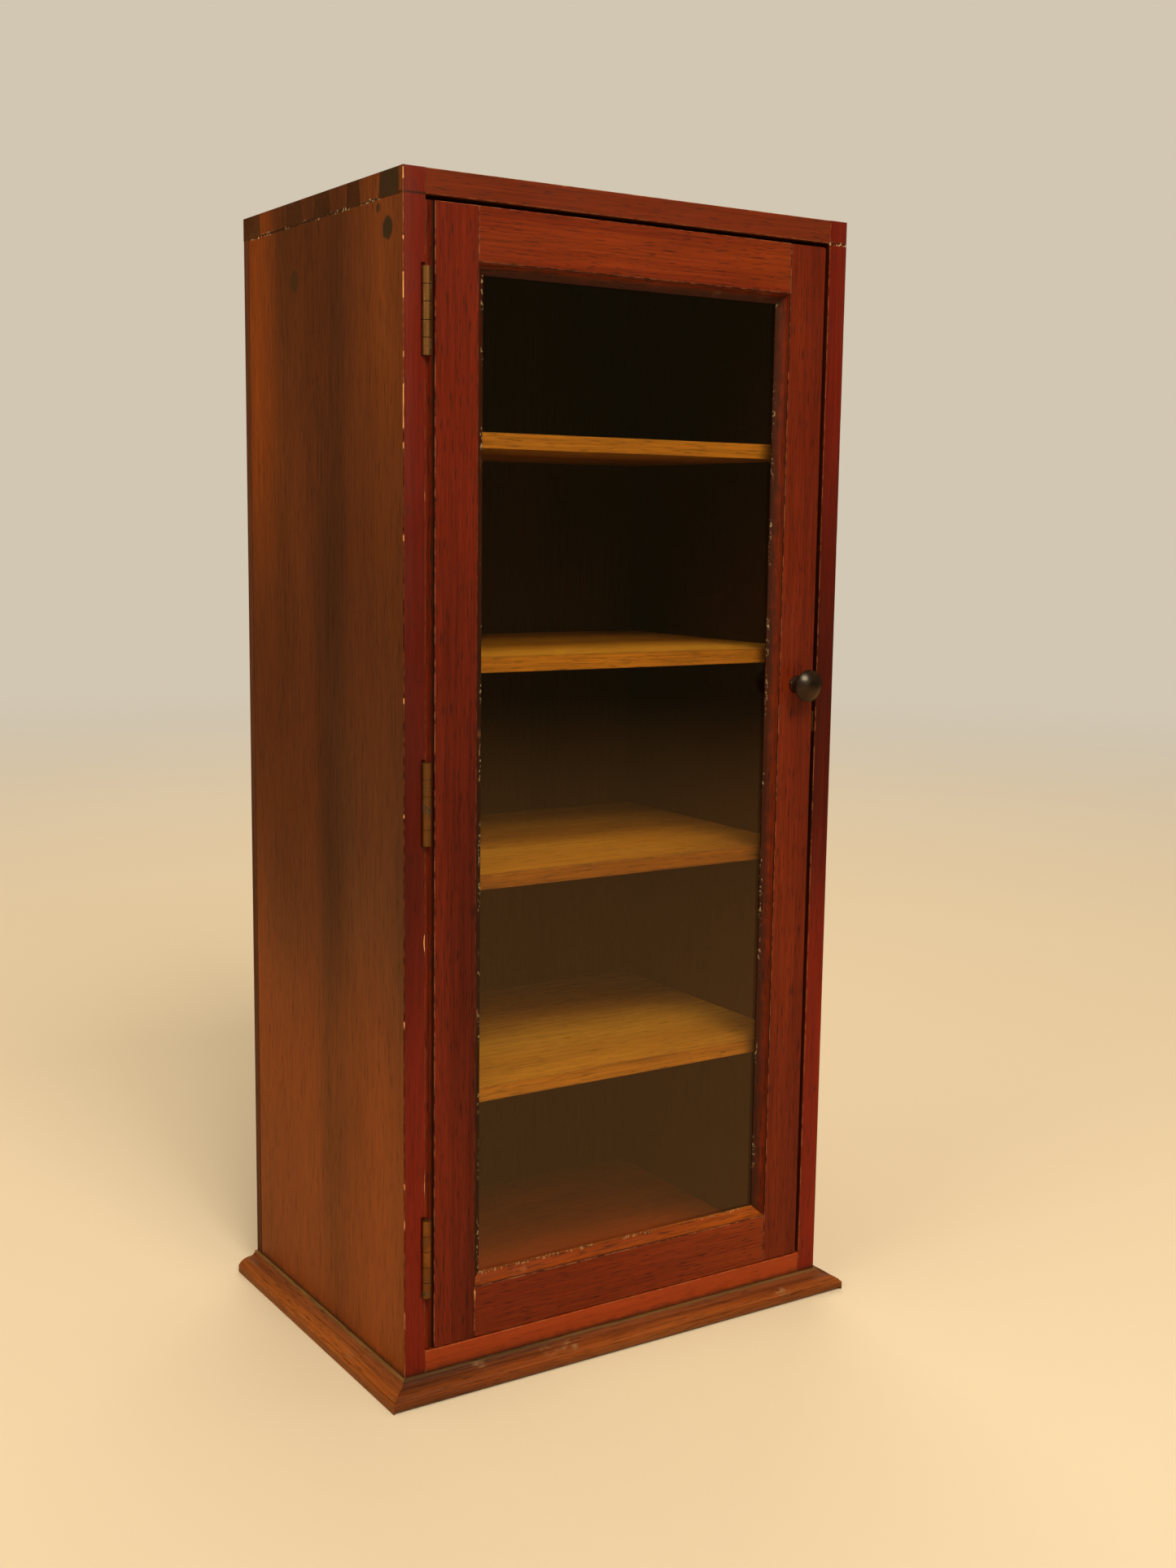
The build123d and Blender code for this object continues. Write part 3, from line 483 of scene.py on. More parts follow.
# %% Group: pale crumbs of old wax and putty
crumbling, took, gave = new_group(
    "pale_crumbs",
    ON_COLOUR + [
        ("Distance", "value", 1.0), ("Width", "value", 1 * MM), ("Crumb", "colour", (0.50, 0.40, 0.24, 1)),
        ("Amount", "value", 0.8),
    ],
    MASKED,
)
grit = stretched_noise(crumbling, took["Place"], (900, 900, 600), 2.0)
lots = even_noise(crumbling, took["Place"], 45, 2.0, (3, 8, 1))
close = opposite(crumbling, calc(crumbling, "DIVIDE", took["Distance"], took["Width"]))
mask = times(crumbling, keep_band(crumbling, close, 0.0, 0.3), keep_band(crumbling, grit, 0.57, 0.63))
mask = times(crumbling, mask, keep_band(crumbling, lots, 0.46, 0.58))
mask = times(crumbling, mask, took["Amount"])
give_masked(crumbling, gave, took, mask, took["Crumb"])

# %% Group: fading and painted light between foot and top
fade_and_painted_light, took, gave = new_group(
    "faded_tone_and_painted_light",
    ON_COLOUR + [
        ("Foot", "value", 0.0), ("Height", "value", 1.0), ("Middle", "colour", (0.66, 0.66, 0.85, 1)),
        ("Painted light", "colour", (1.20, 1.00, 0.36, 1)),
    ],
    [("Color", "colour")],
)
COLUMN_EDGE = (12 * MM, 62 * MM)  # how far the dark column down the middle reaches to each side
REAR_EDGE = (40 * MM, 80 * MM)  # where the lighter strip at the back, painted light, starts
depth, up = along(fade_and_painted_light, took["Place"], 1), along(fade_and_painted_light, took["Place"], 2)
drift = stretched_noise(fade_and_painted_light, took["Place"], (9, 9, 3), 2.0, 0.0, (1, 4, 2))
share = calc(fade_and_painted_light, "DIVIDE", calc(fade_and_painted_light, "SUBTRACT", up, took["Foot"]), took["Height"])
share = sway(fade_and_painted_light, drift, 0.35, share)
above_foot = keep_band(fade_and_painted_light, share, 0.22, 0.46)
below_top = opposite(fade_and_painted_light, keep_band(fade_and_painted_light, share, 0.60, 0.90))
column = opposite(fade_and_painted_light, keep_band(fade_and_painted_light, calc(fade_and_painted_light, "ABSOLUTE", depth), *COLUMN_EDGE))
middle = calc(fade_and_painted_light, "MAXIMUM", below_top, times(fade_and_painted_light, column, 0.85))
rear = times(fade_and_painted_light, keep_band(fade_and_painted_light, depth, *REAR_EDGE), keep_band(fade_and_painted_light, share, 0.5, 0.9))
# Painted light: the foot of the side is lightened as if lit from the floor, and so is a strip at the back
# near the top.
lit_share = calc(fade_and_painted_light, "MAXIMUM", rear, opposite(fade_and_painted_light, above_foot))
lit = blend_colour(fade_and_painted_light, lit_share, (1, 1, 1, 1), took["Painted light"])
fade_and_light = blend_colour(fade_and_painted_light, times(fade_and_painted_light, above_foot, middle), lit, took["Middle"])
plug(fade_and_painted_light, gave["Color"], blend_colour(fade_and_painted_light, 1.0, took["Color"], fade_and_light, "MULTIPLY"))
print("faded_tone_and_painted_light has", len(fade_and_painted_light.nodes), "nodes")

# %% Group: fine scratches
scratching, took, gave = new_group("fine_scratches", ON_COLOUR + [("Amount", "value", 0.5)], MASKED)
steep = stretched_noise(scratching, took["Place"], (60, 2600, 28), 1.0, turn=(0.16, 0, 0))
level = stretched_noise(scratching, took["Place"], (60, 30, 2200), 1.0, 0.0, (4, 4, 4), (0.5, 0, 0))
where = even_noise(scratching, took["Place"], 26, 2.0, (2, 6, 4))
steep_lines = keep_band(scratching, steep, 0.735, 0.77)
level_lines = keep_band(scratching, level, 0.76, 0.79)
mask = calc(scratching, "MAXIMUM", steep_lines, level_lines)
mask = times(scratching, mask, keep_band(scratching, where, 0.5, 0.66))
mask = times(scratching, mask, took["Amount"])
give_masked(scratching, gave, took, mask, scale_colour(scratching, took["Color"], 1.9))

# %% Group: round plug
plugging, took, gave = new_group(
    "round_plug",
    ON_COLOUR + [
        ("Centre", "place", (0, 0, 0)), ("Radius", "value", 5 * MM),
        ("Plug", "colour", (0.04, 0.025, 0.01, 1)), ("Amount", "value", 0.9),
    ],
    MASKED,
)
gap = plugging.nodes.new("ShaderNodeVectorMath")
gap.operation = "DISTANCE"
plug(plugging, gap.inputs[0], took["Place"])
plug(plugging, gap.inputs[1], took["Centre"])
ragged = stretched_noise(plugging, took["Place"], (420, 420, 160), 3.0)
far = sway(plugging, ragged, 0.55, calc(plugging, "DIVIDE", gap.outputs["Value"], took["Radius"]))
mask = times(plugging, opposite(plugging, keep_band(plugging, far, 0.82, 1.05)), took["Amount"])
give_masked(plugging, gave, took, mask, took["Plug"])

# %% [markdown]
# ## One recipe for every polished board
# All the boards share the recipe below: figure, redder polish on the front, darker end grain,
# dirt, plugs, scratches and rubbed corners.  Some boards also get painted shade and painted light:
# tints by height, by depth and by the way a face turns, and dark lines beside the glass.  What
# differs is the way the grain runs and the values.  A turned Mapping node lays the grain along X, Y or Z.

# %% Board finish
GRAIN_TURN = {"Z": (0, 0, 0), "X": (0, -math.pi / 2, 0), "Y": (math.pi / 2, 0, 0)}
INNER_PAINTED_SHADE = (0.36, 0.26, 0.22, 1)  # painted shade: the sides' inner faces are darkened as if in shade inside the case
COAT_ROUGHNESS, GRAIN_DEPTH, GRAIN_STRENGTH = 0.22, 0.06 * MM, 0.6


def facing(tree, axis, sign=0):
    """1 where the surface faces along an axis; sign picks one of its two directions."""
    part = along(tree, tree.nodes.new("ShaderNodeTexCoord").outputs["Normal"], axis)
    turned = times(tree, part, sign) if sign else calc(tree, "ABSOLUTE", part)
    return keep_band(tree, turned, 0.6, 0.85)


def beyond(tree, place, axis, level, soft):
    """1 past a plane across one axis, 0 before it, with a soft step between."""
    return keep_band(tree, along(tree, place, axis), level - soft / 2, level + soft / 2)


def lay_lines(tree, group, colour, here, lines):
    """Runs a line group beside each (axis, level, width, amount) plane."""
    for axis, level, width, amount in lines:
        gap = calc(tree, "ABSOLUTE", calc(tree, "SUBTRACT", along(tree, here, axis), level))
        colour = use_group(
            tree, group, Color=colour, Place=here, Distance=gap, Width=width, Amount=amount,
        )["Color"]
    return colour


def board_finish(
    name, grain, shift, ground, deep, light, streaks=0.8, fibre=0.3, pores=0.5, rough=0.42, gloss=0.26,
    coat=0.06, front=None, end=(0.45, 0.50, 0.55, 1), worn=(0.30, 0.10, 0.04, 1), bare=(0.75, 0.36, 0.14, 1),
    rub=0.5, scratches=0.0, dirt_and_shade_marks=(), crumbs=(), plugs=(), faded_and_lit=None, inner=0, bands=(),
):
    """A polished wood.  front is a tint for the faces towards -Y, end for the end grain; on the back panel
    and the shelves the front tint is painted shade.
    """
    material, tree, shader, here = new_material(name)
    laid = tree.nodes.new("ShaderNodeMapping")
    tree.links.new(here, laid.inputs["Vector"])
    set_plain(laid, Rotation=GRAIN_TURN[grain], Location=shift)
    board = use_group(
        tree, figure, Place=laid.outputs[0], Ground=ground, Deep=deep, Light=light,
        Streaks=streaks, Fibre=fibre, Pores=pores,
    )
    colour = board["Color"]
    # The sides' fading, with painted light at their foot and at a strip near their back.
    if faded_and_lit:
        foot, tall = faded_and_lit
        colour = use_group(tree, fade_and_painted_light, Color=colour, Place=here, Foot=foot, Height=tall)["Color"]
    # Bands: painted shade and painted light on the shelves, the bottom rail and the plinth; a darker band on
    # the lock stile.
    for axis, low, high, soft, band_tint in bands:
        below = opposite(tree, beyond(tree, here, axis, high, soft))
        colour = tint(tree, times(tree, beyond(tree, here, axis, low, soft), below), colour, band_tint)
    # painted shade on the faces that turn into the case
    if inner:
        colour = tint(tree, facing(tree, "X", inner), colour, INNER_PAINTED_SHADE)
    if front:
        colour = tint(tree, facing(tree, "Y", -1), colour, front)
    colour = tint(tree, facing(tree, grain), colour, end)
    for centre, radius, amount in plugs:
        colour = use_group(
            tree, plugging, Color=colour, Place=here, Centre=centre, Radius=radius, Amount=amount,
        )["Color"]
    if scratches:
        colour = use_group(tree, scratching, Color=colour, Place=here, Amount=scratches)["Color"]
    # Dark lines: real dirt at joints, painted shade beside the glass.
    colour = lay_lines(tree, dirt_and_shade_line, colour, here, dirt_and_shade_marks)
    colour = lay_lines(tree, crumbling, colour, here, crumbs)
    corner = use_group(tree, rubbing, Color=colour, Place=here, Worn=worn, Bare=bare, Amount=rub)
    tree.links.new(corner["Color"], shader.inputs["Base Color"])
    dull = calc(tree, "MULTIPLY_ADD", board["Pores"], 0.2, rough)
    dull = sway(tree, even_noise(tree, here, 24, 3.0), 0.22, dull)
    dull = calc(tree, "MULTIPLY_ADD", corner["Bare"], 0.3, dull)
    tree.links.new(dull, shader.inputs["Roughness"])
    set_plain(shader, Specular_IOR_Level=gloss, Coat_Weight=coat, Coat_Roughness=COAT_ROUGHNESS)
    dent(tree, shader, board["Height"], GRAIN_DEPTH, GRAIN_STRENGTH)
    return material


# %% [markdown]
# ## The woods
# The sides are browner, faded by light, with dark bands down the middle; their front edges and
# the door have a deep red polish.  Painted light lightens the sides' foot and a strip at their back,
# and painted shade darkens their inner faces.  The top rail and the bottom board are a brighter
# orange red.  The shelves are a plain golden wood, waxed and not stained; painted shade darkens
# their front edges and their back part, and the back panel's front face.

# %% Woods of the case
RED_POLISH = (0.70, 0.152, 0.120, 1)
side_plugs = [
    ((LEFT, FRONT + 14.6 * MM, CASE_FOOT + 525.5 * MM), 5.2 * MM, 0.95),
    ((LEFT, FRONT + 115 * MM, CASE_FOOT + 513 * MM), 5.2 * MM, 0.55),
    ((LEFT, FRONT + 24 * MM, CASE_FOOT + 535 * MM), 2.2 * MM, 0.8),
]
top_plug = ((LEFT, FRONT + 13 * MM, CASE_TOP - 5.5 * MM), 9.5 * MM, 0.75)
# darker just above the plinth, on the sides and the bottom board
above_plinth_darker = [("Z", CASE_FOOT, 3.5 * MM, 0.75)]
SIDE = dict(
    ground=(0.164, 0.0400, 0.0064, 1), deep=(0.092, 0.025, 0.0055, 1), light=(0.235, 0.058, 0.0075, 1),
    streaks=0.50, fibre=0.28, pores=0.5, front=RED_POLISH, scratches=0.35,
    faded_and_lit=(CASE_FOOT, CASE_TOP - CASE_FOOT), crumbs=[("Z", CASE_TOP - BOARD, 1.1 * MM, 1.0)],
    dirt_and_shade_marks=above_plinth_darker + [("Z", CASE_TOP - BOARD, 0.9 * MM, 0.8)], bare=(0.85, 0.44, 0.20, 1),
)
side_left_wood = board_finish("side_left_wood", "Z", (0.4, 1.748, 0.2), inner=1, plugs=side_plugs, **SIDE)
side_right_wood = board_finish("side_right_wood", "Z", (2.4, 0.3, 1.2), inner=-1, **SIDE)
top_wood = board_finish(
    "top_wood", "X", (0.9, 0.6, 3.1), (0.155, 0.036, 0.006, 1), (0.085, 0.018, 0.004, 1),
    (0.22, 0.058, 0.008, 1), streaks=0.7, fibre=0.24, pores=0.6, front=(0.88, 0.50, 0.50, 1),
    end=(0.48, 0.62, 0.85, 1), plugs=[top_plug],
)
bottom_wood = board_finish(
    "bottom_wood", "X", (1.9, 2.6, 0.1), (0.27, 0.036, 0.004, 1), (0.13, 0.018, 0.003, 1),
    (0.37, 0.058, 0.006, 1), streaks=0.5, fibre=0.16, pores=0.4, dirt_and_shade_marks=above_plinth_darker,
)
back_wood = board_finish(
    "back_wood", "Z", (3.3, 0.8, 0.6), (0.11, 0.032, 0.010, 1), (0.05, 0.014, 0.006, 1),
    (0.17, 0.05, 0.015, 1), streaks=0.9, fibre=0.35, pores=0.4, rough=0.6, gloss=0.2, coat=0.0, scratches=0.5,
    # painted shade: the back panel's front face, inside the case, is darkened
    front=(0.42, 0.38, 0.36, 1),
)
SHELF_PAINTED_SHADE = ("Y", FRONT + 75 * MM, BACK + 75 * MM, 120 * MM, (0.76, 0.68, 0.60, 1))  # painted shade: darker towards the back of the case
shelf_wood = board_finish(
    "shelf_wood", "X", (0.2, 1.1, 2.2), (0.46, 0.19, 0.020, 1), (0.28, 0.10, 0.011, 1),
    # painted shade: the front tint makes the shelves' front edges darker than their tops
    (0.60, 0.29, 0.040, 1), streaks=1.0, fibre=0.42, pores=0.6, front=(0.86, 0.74, 0.58, 1),
    bands=[SHELF_PAINTED_SHADE], rough=0.5, gloss=0.25, coat=0.0, end=(0.8, 0.8, 0.8, 1),
    worn=(0.66, 0.3, 0.06, 1), bare=(0.7, 0.4, 0.12, 1),
)

# %% Woods of the door
MOULDING = 5.0 * MM
MOULDING_SIDES = [
    ("X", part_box("stile_hinge")[1].x - MOULDING), ("X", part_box("stile_lock")[0].x + MOULDING),
    ("Z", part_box("rail_bottom")[1].z - MOULDING), ("Z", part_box("rail_top")[0].z + MOULDING),
]


def moulding_steps(axis):
    """The dirt lines where a stile's or a rail's face steps down to its moulding."""
    return [(name, level, 0.7 * MM, 0.8) for name, level in MOULDING_SIDES if name == axis]


# painted shade: the mouldings of the stiles and rails darken towards the glass, where they turn away from the
# light
SIGHT_EDGE_SHADE = ("Y", PANE_FRONT, 4.2 * MM, 0.85)
QUIRK = ("X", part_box("stile_hinge")[0].x + 3.8 * MM, 1.3 * MM, 0.85)
LOCK_STILE_DARKER = ("X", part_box("stile_lock")[0].x, -LEFT, 3 * MM, (0.80, 0.84, 0.84, 1))  # the lock stile a little darker
POLISH = dict(
    streaks=0.8, fibre=0.34, pores=0.8, rough=0.42, gloss=0.2, coat=0.05, worn=(0.34, 0.12, 0.055, 1),
    rub=0.55,
)
stile_wood = board_finish(
    "stile_wood", "Z", (0.7, 2.2, 0.9), (0.124, 0.0105, 0.0016, 1), (0.060, 0.0046, 0.0012, 1),
    (0.180, 0.0190, 0.0024, 1), dirt_and_shade_marks=[SIGHT_EDGE_SHADE, *moulding_steps("X"), QUIRK],
    crumbs=[("Y", PANE_FRONT, 0.9 * MM, 0.5)], bands=[LOCK_STILE_DARKER], **POLISH,
)
RAIL = dict(
    ground=(0.128, 0.0140, 0.0018, 1), deep=(0.062, 0.0056, 0.0014, 1), light=(0.20, 0.029, 0.0027, 1),
    **POLISH,
)
rail_wood = board_finish("rail_wood", "X", (1.4, 0.9, 2.0), dirt_and_shade_marks=[SIGHT_EDGE_SHADE, *moulding_steps("Z")], **RAIL)
SIGHT_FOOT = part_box("rail_bottom")[1].z
SOFT = 0.35 * MM
# painted highlight: the bottom rail's moulding is lightened as if lit from above, and its top arris turned
# pale grey; the pale arris is partly real wear
LOW_MOULDING_HIGHLIGHT = [
    ("Z", SIGHT_FOOT - 4.9 * MM, SIGHT_FOOT - 0.5 * MM, SOFT, (1.5, 2.4, 1.4, 1)),
    ("Z", SIGHT_FOOT - 0.5 * MM, SIGHT_FOOT + MM, SOFT, (1.3, 3.4, 4.5, 1)),
]
rail_low_wood = board_finish(
    "rail_low_wood", "X", (2.3, 1.9, 0.4), dirt_and_shade_marks=moulding_steps("Z"),
    crumbs=[("Y", PANE_FRONT, 1.0 * MM, 0.4)], bands=LOW_MOULDING_HIGHLIGHT, **RAIL,
)

# %% Woods of the plinth
PLINTH_SHADE_AND_SHEEN = [  # from, to in mm above the floor, and the tint of that part of the moulding: painted shade on the lowest band, painted grey sheen on the two top bands
    (-0.35, 3.9, (0.72, 0.72, 0.85, 1)),
    (3.9, 7.2, (1.02, 0.90, 0.75, 1)),
    (7.2, 9.7, (0.88, 0.84, 1.15, 1)),
    (9.7, 12.0, (1.10, 2.1, 3.6, 1)),
]
PLINTH = dict(
    ground=(0.185, 0.050, 0.010, 1), deep=(0.080, 0.024, 0.007, 1), light=(0.30, 0.095, 0.018, 1),
    streaks=1.0, fibre=0.34, pores=0.6, rough=0.45, worn=(0.26, 0.15, 0.08, 1),
    bare=(0.42, 0.24, 0.10, 1), rub=0.8, gloss=0.2, coat=0.0,
    bands=[("Z", low * MM, high * MM, SOFT, colour) for low, high, colour in PLINTH_SHADE_AND_SHEEN],
)
plinth_front_wood = board_finish("plinth_front_wood", "X", (2.1, 0.2, 0.7), **PLINTH)
plinth_side_wood = board_finish("plinth_side_wood", "Y", (0.1, 3.2, 1.7), **PLINTH)
print("woods", len(bpy.data.materials) - 1)

# %% [markdown]
# ## Boards with worn arrises
# A sawn and planed board has no perfectly sharp corner, and an old one has dents and chips along
# it.  Each board starts as a merged copy of its CAD mesh.  Open corners get a small round,
# joints a finer one that shows as a thin dark line.  The rails of each round are then cut every
# two millimetres and pushed in by noise, more where a chip is.

# %% Worn board builder
LONG_EDGE = 3 * MM
STEP = 2.0 * MM
JOINT_ROUND = 0.1 * MM
ROUND, JOINT, CAD_ROUND = 1, 2, 3  # marks on faces while a board is being worked


def merged_copy(node):
    """A bmesh copy of a CAD node with its triangles joined into flat faces."""
    bm = bmesh.new()
    bm.from_mesh(nodes[node].data)
    bmesh.ops.remove_doubles(bm, verts=bm.verts, dist=0.002 * MM)
    bmesh.ops.dissolve_limit(bm, angle_limit=math.radians(0.4), verts=bm.verts, edges=bm.edges)
    return bm


def outer_corners(bm, sharper_than):
    """The convex edges that turn more than some degrees."""
    turn = math.radians(sharper_than)
    return [e for e in bm.edges if len(e.link_faces) == 2 and e.is_convex and e.calc_face_angle(0) > turn]


def sharp_corners(bm):
    """The long corners between two flat faces."""
    return [
        e for e in outer_corners(bm, 60)
        if e.calc_length() > LONG_EDGE and all(f.material_index == 0 for f in e.link_faces)
    ]


def ease(bm, edges, offset, segments, mark, clamp=False):
    """Rounds some edges and marks the new faces."""
    if edges:
        bmesh.ops.bevel(
            bm, geom=edges, offset=offset, offset_type="OFFSET", segments=segments, profile=0.5,
            affect="EDGES", clamp_overlap=clamp, material=mark,
        )


def knock_depth(point, knocks):
    """How deep a known knock is at a point; each is a place, a length and a depth."""
    deepest = 0.0
    for place, length, depth in knocks:
        share = 1 - (point - place).length / (length / 2)
        deepest = max(deepest, depth * min(1.0, 1.6 * max(0.0, share)))
    return deepest


def chip_depth(point, shift, wander, chip, knocks):
    """How far the corner has worn in at a point, in metres."""
    p = point + shift
    waves = 0.5 + 0.5 * noise.noise(p * 130)
    bite = max(0.0, noise.noise(p * 75) - 0.30) / 0.70
    deep = max(0.0, 0.55 + noise.noise(p * 14))
    jagged = 0.75 + 0.5 * noise.noise(p * 600)
    return wander * waves, max(chip * bite ** 1.3 * deep, knock_depth(point, knocks) * jagged)


def push_of(edge):
    """Which way a rail of a round wears in, or None if the edge isn't one."""
    rounds = [f for f in edge.link_faces if f.material_index in (ROUND, CAD_ROUND)]
    flats = [f for f in edge.link_faces if f.material_index == 0]
    if not rounds or len(edge.link_faces) != 2 or edge.calc_length() < 2 * STEP:
        return None
    if len(rounds) == 2:
        return -(rounds[0].normal + rounds[1].normal).normalized() * 0.64
    if not flats:
        return None
    ahead = (edge.verts[1].co - edge.verts[0].co).normalized()
    push = flats[0].normal.cross(ahead).normalized()
    middle = (edge.verts[0].co + edge.verts[1].co) / 2
    return -push if push.dot(middle - rounds[0].calc_center_median()) < 0 else push


def cut_rails(bm, shift, wander, chip, knocks):
    """Cuts the edges of each rounded corner into short steps and pushes the new points in."""
    rub = bm.verts.layers.float.new("rub_depth")
    rails = [(edge, push_of(edge)) for edge in bm.edges]
    for edge, push in [rail for rail in rails if rail[1] is not None]:
        cuts = max(1, round(edge.calc_length() / STEP) - 1)
        made = bmesh.ops.bisect_edges(bm, edges=[edge], cuts=cuts)
        for v in [g for g in made["geom_split"] if isinstance(g, bmesh.types.BMVert)]:
            waves, bite = chip_depth(v.co, shift, wander, chip, knocks)
            v.co += push * (waves + bite)
            v[rub] = min(1.0, bite / (0.5 * MM))
    return rub


def finish_board(bm, name, material, body, replaced, rub_base, rub=None):
    """Writes the rub attribute, sets smooth and sharp edges and makes the piece."""
    rounded = [f for f in bm.faces if f.material_index in rub_base]
    if rounded:
        bmesh.ops.triangulate(bm, faces=rounded)
    shown = bm.loops.layers.float.new("rub")
    for face in bm.faces:
        face.smooth = True
        base = rub_base.get(face.material_index)
        for loop in face.loops:
            if base is not None:
                loop[shown] = base + (1 - base) * (loop.vert[rub] if rub else 0.0)
    for edge in bm.edges:
        kinds = {f.material_index in rub_base for f in edge.link_faces}
        edge.smooth = len(kinds) == 1 and edge.calc_face_angle(0) < math.radians(38)
    for face in bm.faces:
        face.material_index = 0
    mesh = bpy.data.meshes.new(name)
    bm.to_mesh(mesh)
    bm.free()
    mesh.materials.append(material)
    return add_piece(name, mesh, body, replaced)


def worn_board(
    node, material, slot, body, open_corner, round_mm=0.4, wander_mm=0.12, chip_mm=0.8, cad_rub=0.0, knocks=()
):
    """One board; open_corner says whether an edge's middle is handled or hidden in a joint."""
    bm = merged_copy(node)
    for face in bm.faces:  # rounds that the CAD part already has
        tilted = max(abs(c) for c in face.normal) < 0.985
        if tilted and max(e.calc_length() for e in face.edges) > 20 * MM:
            face.material_index = CAD_ROUND
    handled = [e for e in sharp_corners(bm) if open_corner((e.verts[0].co + e.verts[1].co) / 2)]
    ease(bm, handled, round_mm * MM, 2, ROUND)
    ease(bm, sharp_corners(bm), JOINT_ROUND, 1, JOINT)
    bm.normal_update()
    shift = Vector((len(node) * 0.37, sum(map(ord, node)) * 0.013, 0.2))
    rub = cut_rails(bm, shift, wander_mm * MM, chip_mm * MM, knocks)
    finish_board(bm, node + "_board", material, body, node, {ROUND: 0.3, CAD_ROUND: cad_rub}, rub)


# %% Which corners are handled
NEAR = 0.05 * MM


def at(value, level):
    """True if a coordinate lies on a plane."""
    return abs(value - level) < NEAR


def front_corner(p):
    """The corners of a front face."""
    return at(p.y, FRONT)


def side_corner(p):
    """A side's front corners, up to the dovetails."""
    return at(p.y, FRONT) and p.z < CASE_TOP - BOARD


def top_corner(p):
    """The top board's long front and back corners."""
    return (at(p.y, FRONT) or at(p.y, BACK)) and abs(p.x) < -INNER_LEFT


def no_corner(p):
    """A board whose corners are all in joints."""
    return False


# %% Boards of the case
# (height above the plinth, length, depth) in mm of the knocks on the front left corner
LEFT_KNOCKS = [
    (548, 9, 0.8), (529, 3, 0.6), (520, 3, 0.6), (502, 9, 1.0), (497, 4, 0.8), (471, 3, 0.5),
    (455, 8, 0.9), (445, 13, 1.1), (432, 4, 0.7), (392, 3, 0.6), (320, 4, 0.7), (268, 3, 0.6),
    (171, 3, 0.6), (94, 4, 0.7), (26, 4, 0.8),
]
left_knocks = [
    (Vector((LEFT, FRONT, CASE_FOOT + up * MM)), length * MM, depth * MM) for up, length, depth in LEFT_KNOCKS
]
right_knocks = [(Vector((-LEFT, FRONT, CASE_TOP - down * MM)), 8 * MM, 0.9 * MM) for down in (0, 7, 160)]
SIDE_WEAR = dict(round_mm=0.35, cad_rub=0.3)
worn_board(
    "side_left", side_left_wood, "case_mahogany", "case", side_corner, chip_mm=1.3, knocks=left_knocks,
    **SIDE_WEAR,
)
worn_board(
    "side_right", side_right_wood, "case_mahogany", "case", side_corner, knocks=right_knocks, **SIDE_WEAR
)
worn_board("top_board", top_wood, "case_mahogany", "case", top_corner, chip_mm=0.5)
worn_board("bottom_board", bottom_wood, "case_mahogany", "case", front_corner, chip_mm=0.3)
worn_board("back_panel", back_wood, "back_wood", "case", no_corner)
for number in (1, 2, 3, 4):
    worn_board(f"shelf_{number}", shelf_wood, "shelf_wood", "case", no_corner, chip_mm=0.4)
for side, wood in (("front", plinth_front_wood), ("left", plinth_side_wood), ("right", plinth_side_wood)):
    worn_board(f"plinth_{side}", wood, "plinth_mahogany", "case", no_corner, wander_mm=0.25, chip_mm=0.5)
dress("door_stop_top", top_wood)
dress("door_stop_bottom", top_wood)
dress("plinth_back_rail", back_wood)

# %% Boards of the door
DOOR_BOARDS = {
    "stile_hinge": stile_wood, "stile_lock": stile_wood, "rail_top": rail_wood, "rail_bottom": rail_low_wood,
}
for node, wood in DOOR_BOARDS.items():
    worn_board(node, wood, "door_mahogany", "door", front_corner, round_mm=0.3, chip_mm=0.4)

# %% [markdown]
# ## Glass and putty
# Old sheet glass is a little green and not quite flat, so its reflections swim.  It is one slab
# with a very soft, wide bump.  Lamps have to shine through it onto the shelves: for their shadow
# rays the slab counts as a tinted clear film, which is how a real pane behaves anyway.

# %% Old glass
old_glass, tree, glass, here = new_material("old_glass")
set_plain(glass, Base_Color=(0.86, 0.88, 0.76, 1), Roughness=0.0, IOR=1.5, Transmission_Weight=1.0)
dent(tree, glass, stretched_noise(tree, here, (16, 16, 9), 1.0), 1.2 * MM, 0.15)
film = tree.nodes.new("ShaderNodeBsdfTransparent")
set_plain(film, Color=(0.80, 0.80, 0.66, 1))
shadow_ray = tree.nodes.new("ShaderNodeLightPath").outputs["Is Shadow Ray"]
through = mix_shader(tree, shadow_ray, glass.outputs[0], film.outputs[0])
tree.links.new(through, tree.nodes["Material Output"].inputs["Surface"])
dress("glass_pane", old_glass)

# %% Linseed putty
putty, tree, shader, here = new_material("old_putty")
lumps = even_noise(tree, here, 350, 4.0)
crumbs = stretched_noise(tree, here, (700, 700, 420), 2.0, 0.0, (3, 3, 3))
colour = blend_colour(tree, lumps, (0.020, 0.012, 0.008, 1), (0.075, 0.040, 0.020, 1))
colour = blend_colour(tree, keep_band(tree, crumbs, 0.66, 0.72), colour, (0.45, 0.40, 0.28, 1))
tree.links.new(colour, shader.inputs["Base Color"])
tree.links.new(calc(tree, "MULTIPLY_ADD", lumps, 0.3, 0.5), shader.inputs["Roughness"])
dent(tree, shader, lumps, 0.3 * MM)
dress("glazing_putty", putty)

# %% [markdown]
# ## Old metal
# Brass that nobody polishes goes brown, and stays bright only where it is rubbed.  The group mixes
# three tones with noise of two sizes.  It serves the hinges, the screws, the catch and, with
# darker values, the iron brads and the catch's steel ball and spring.

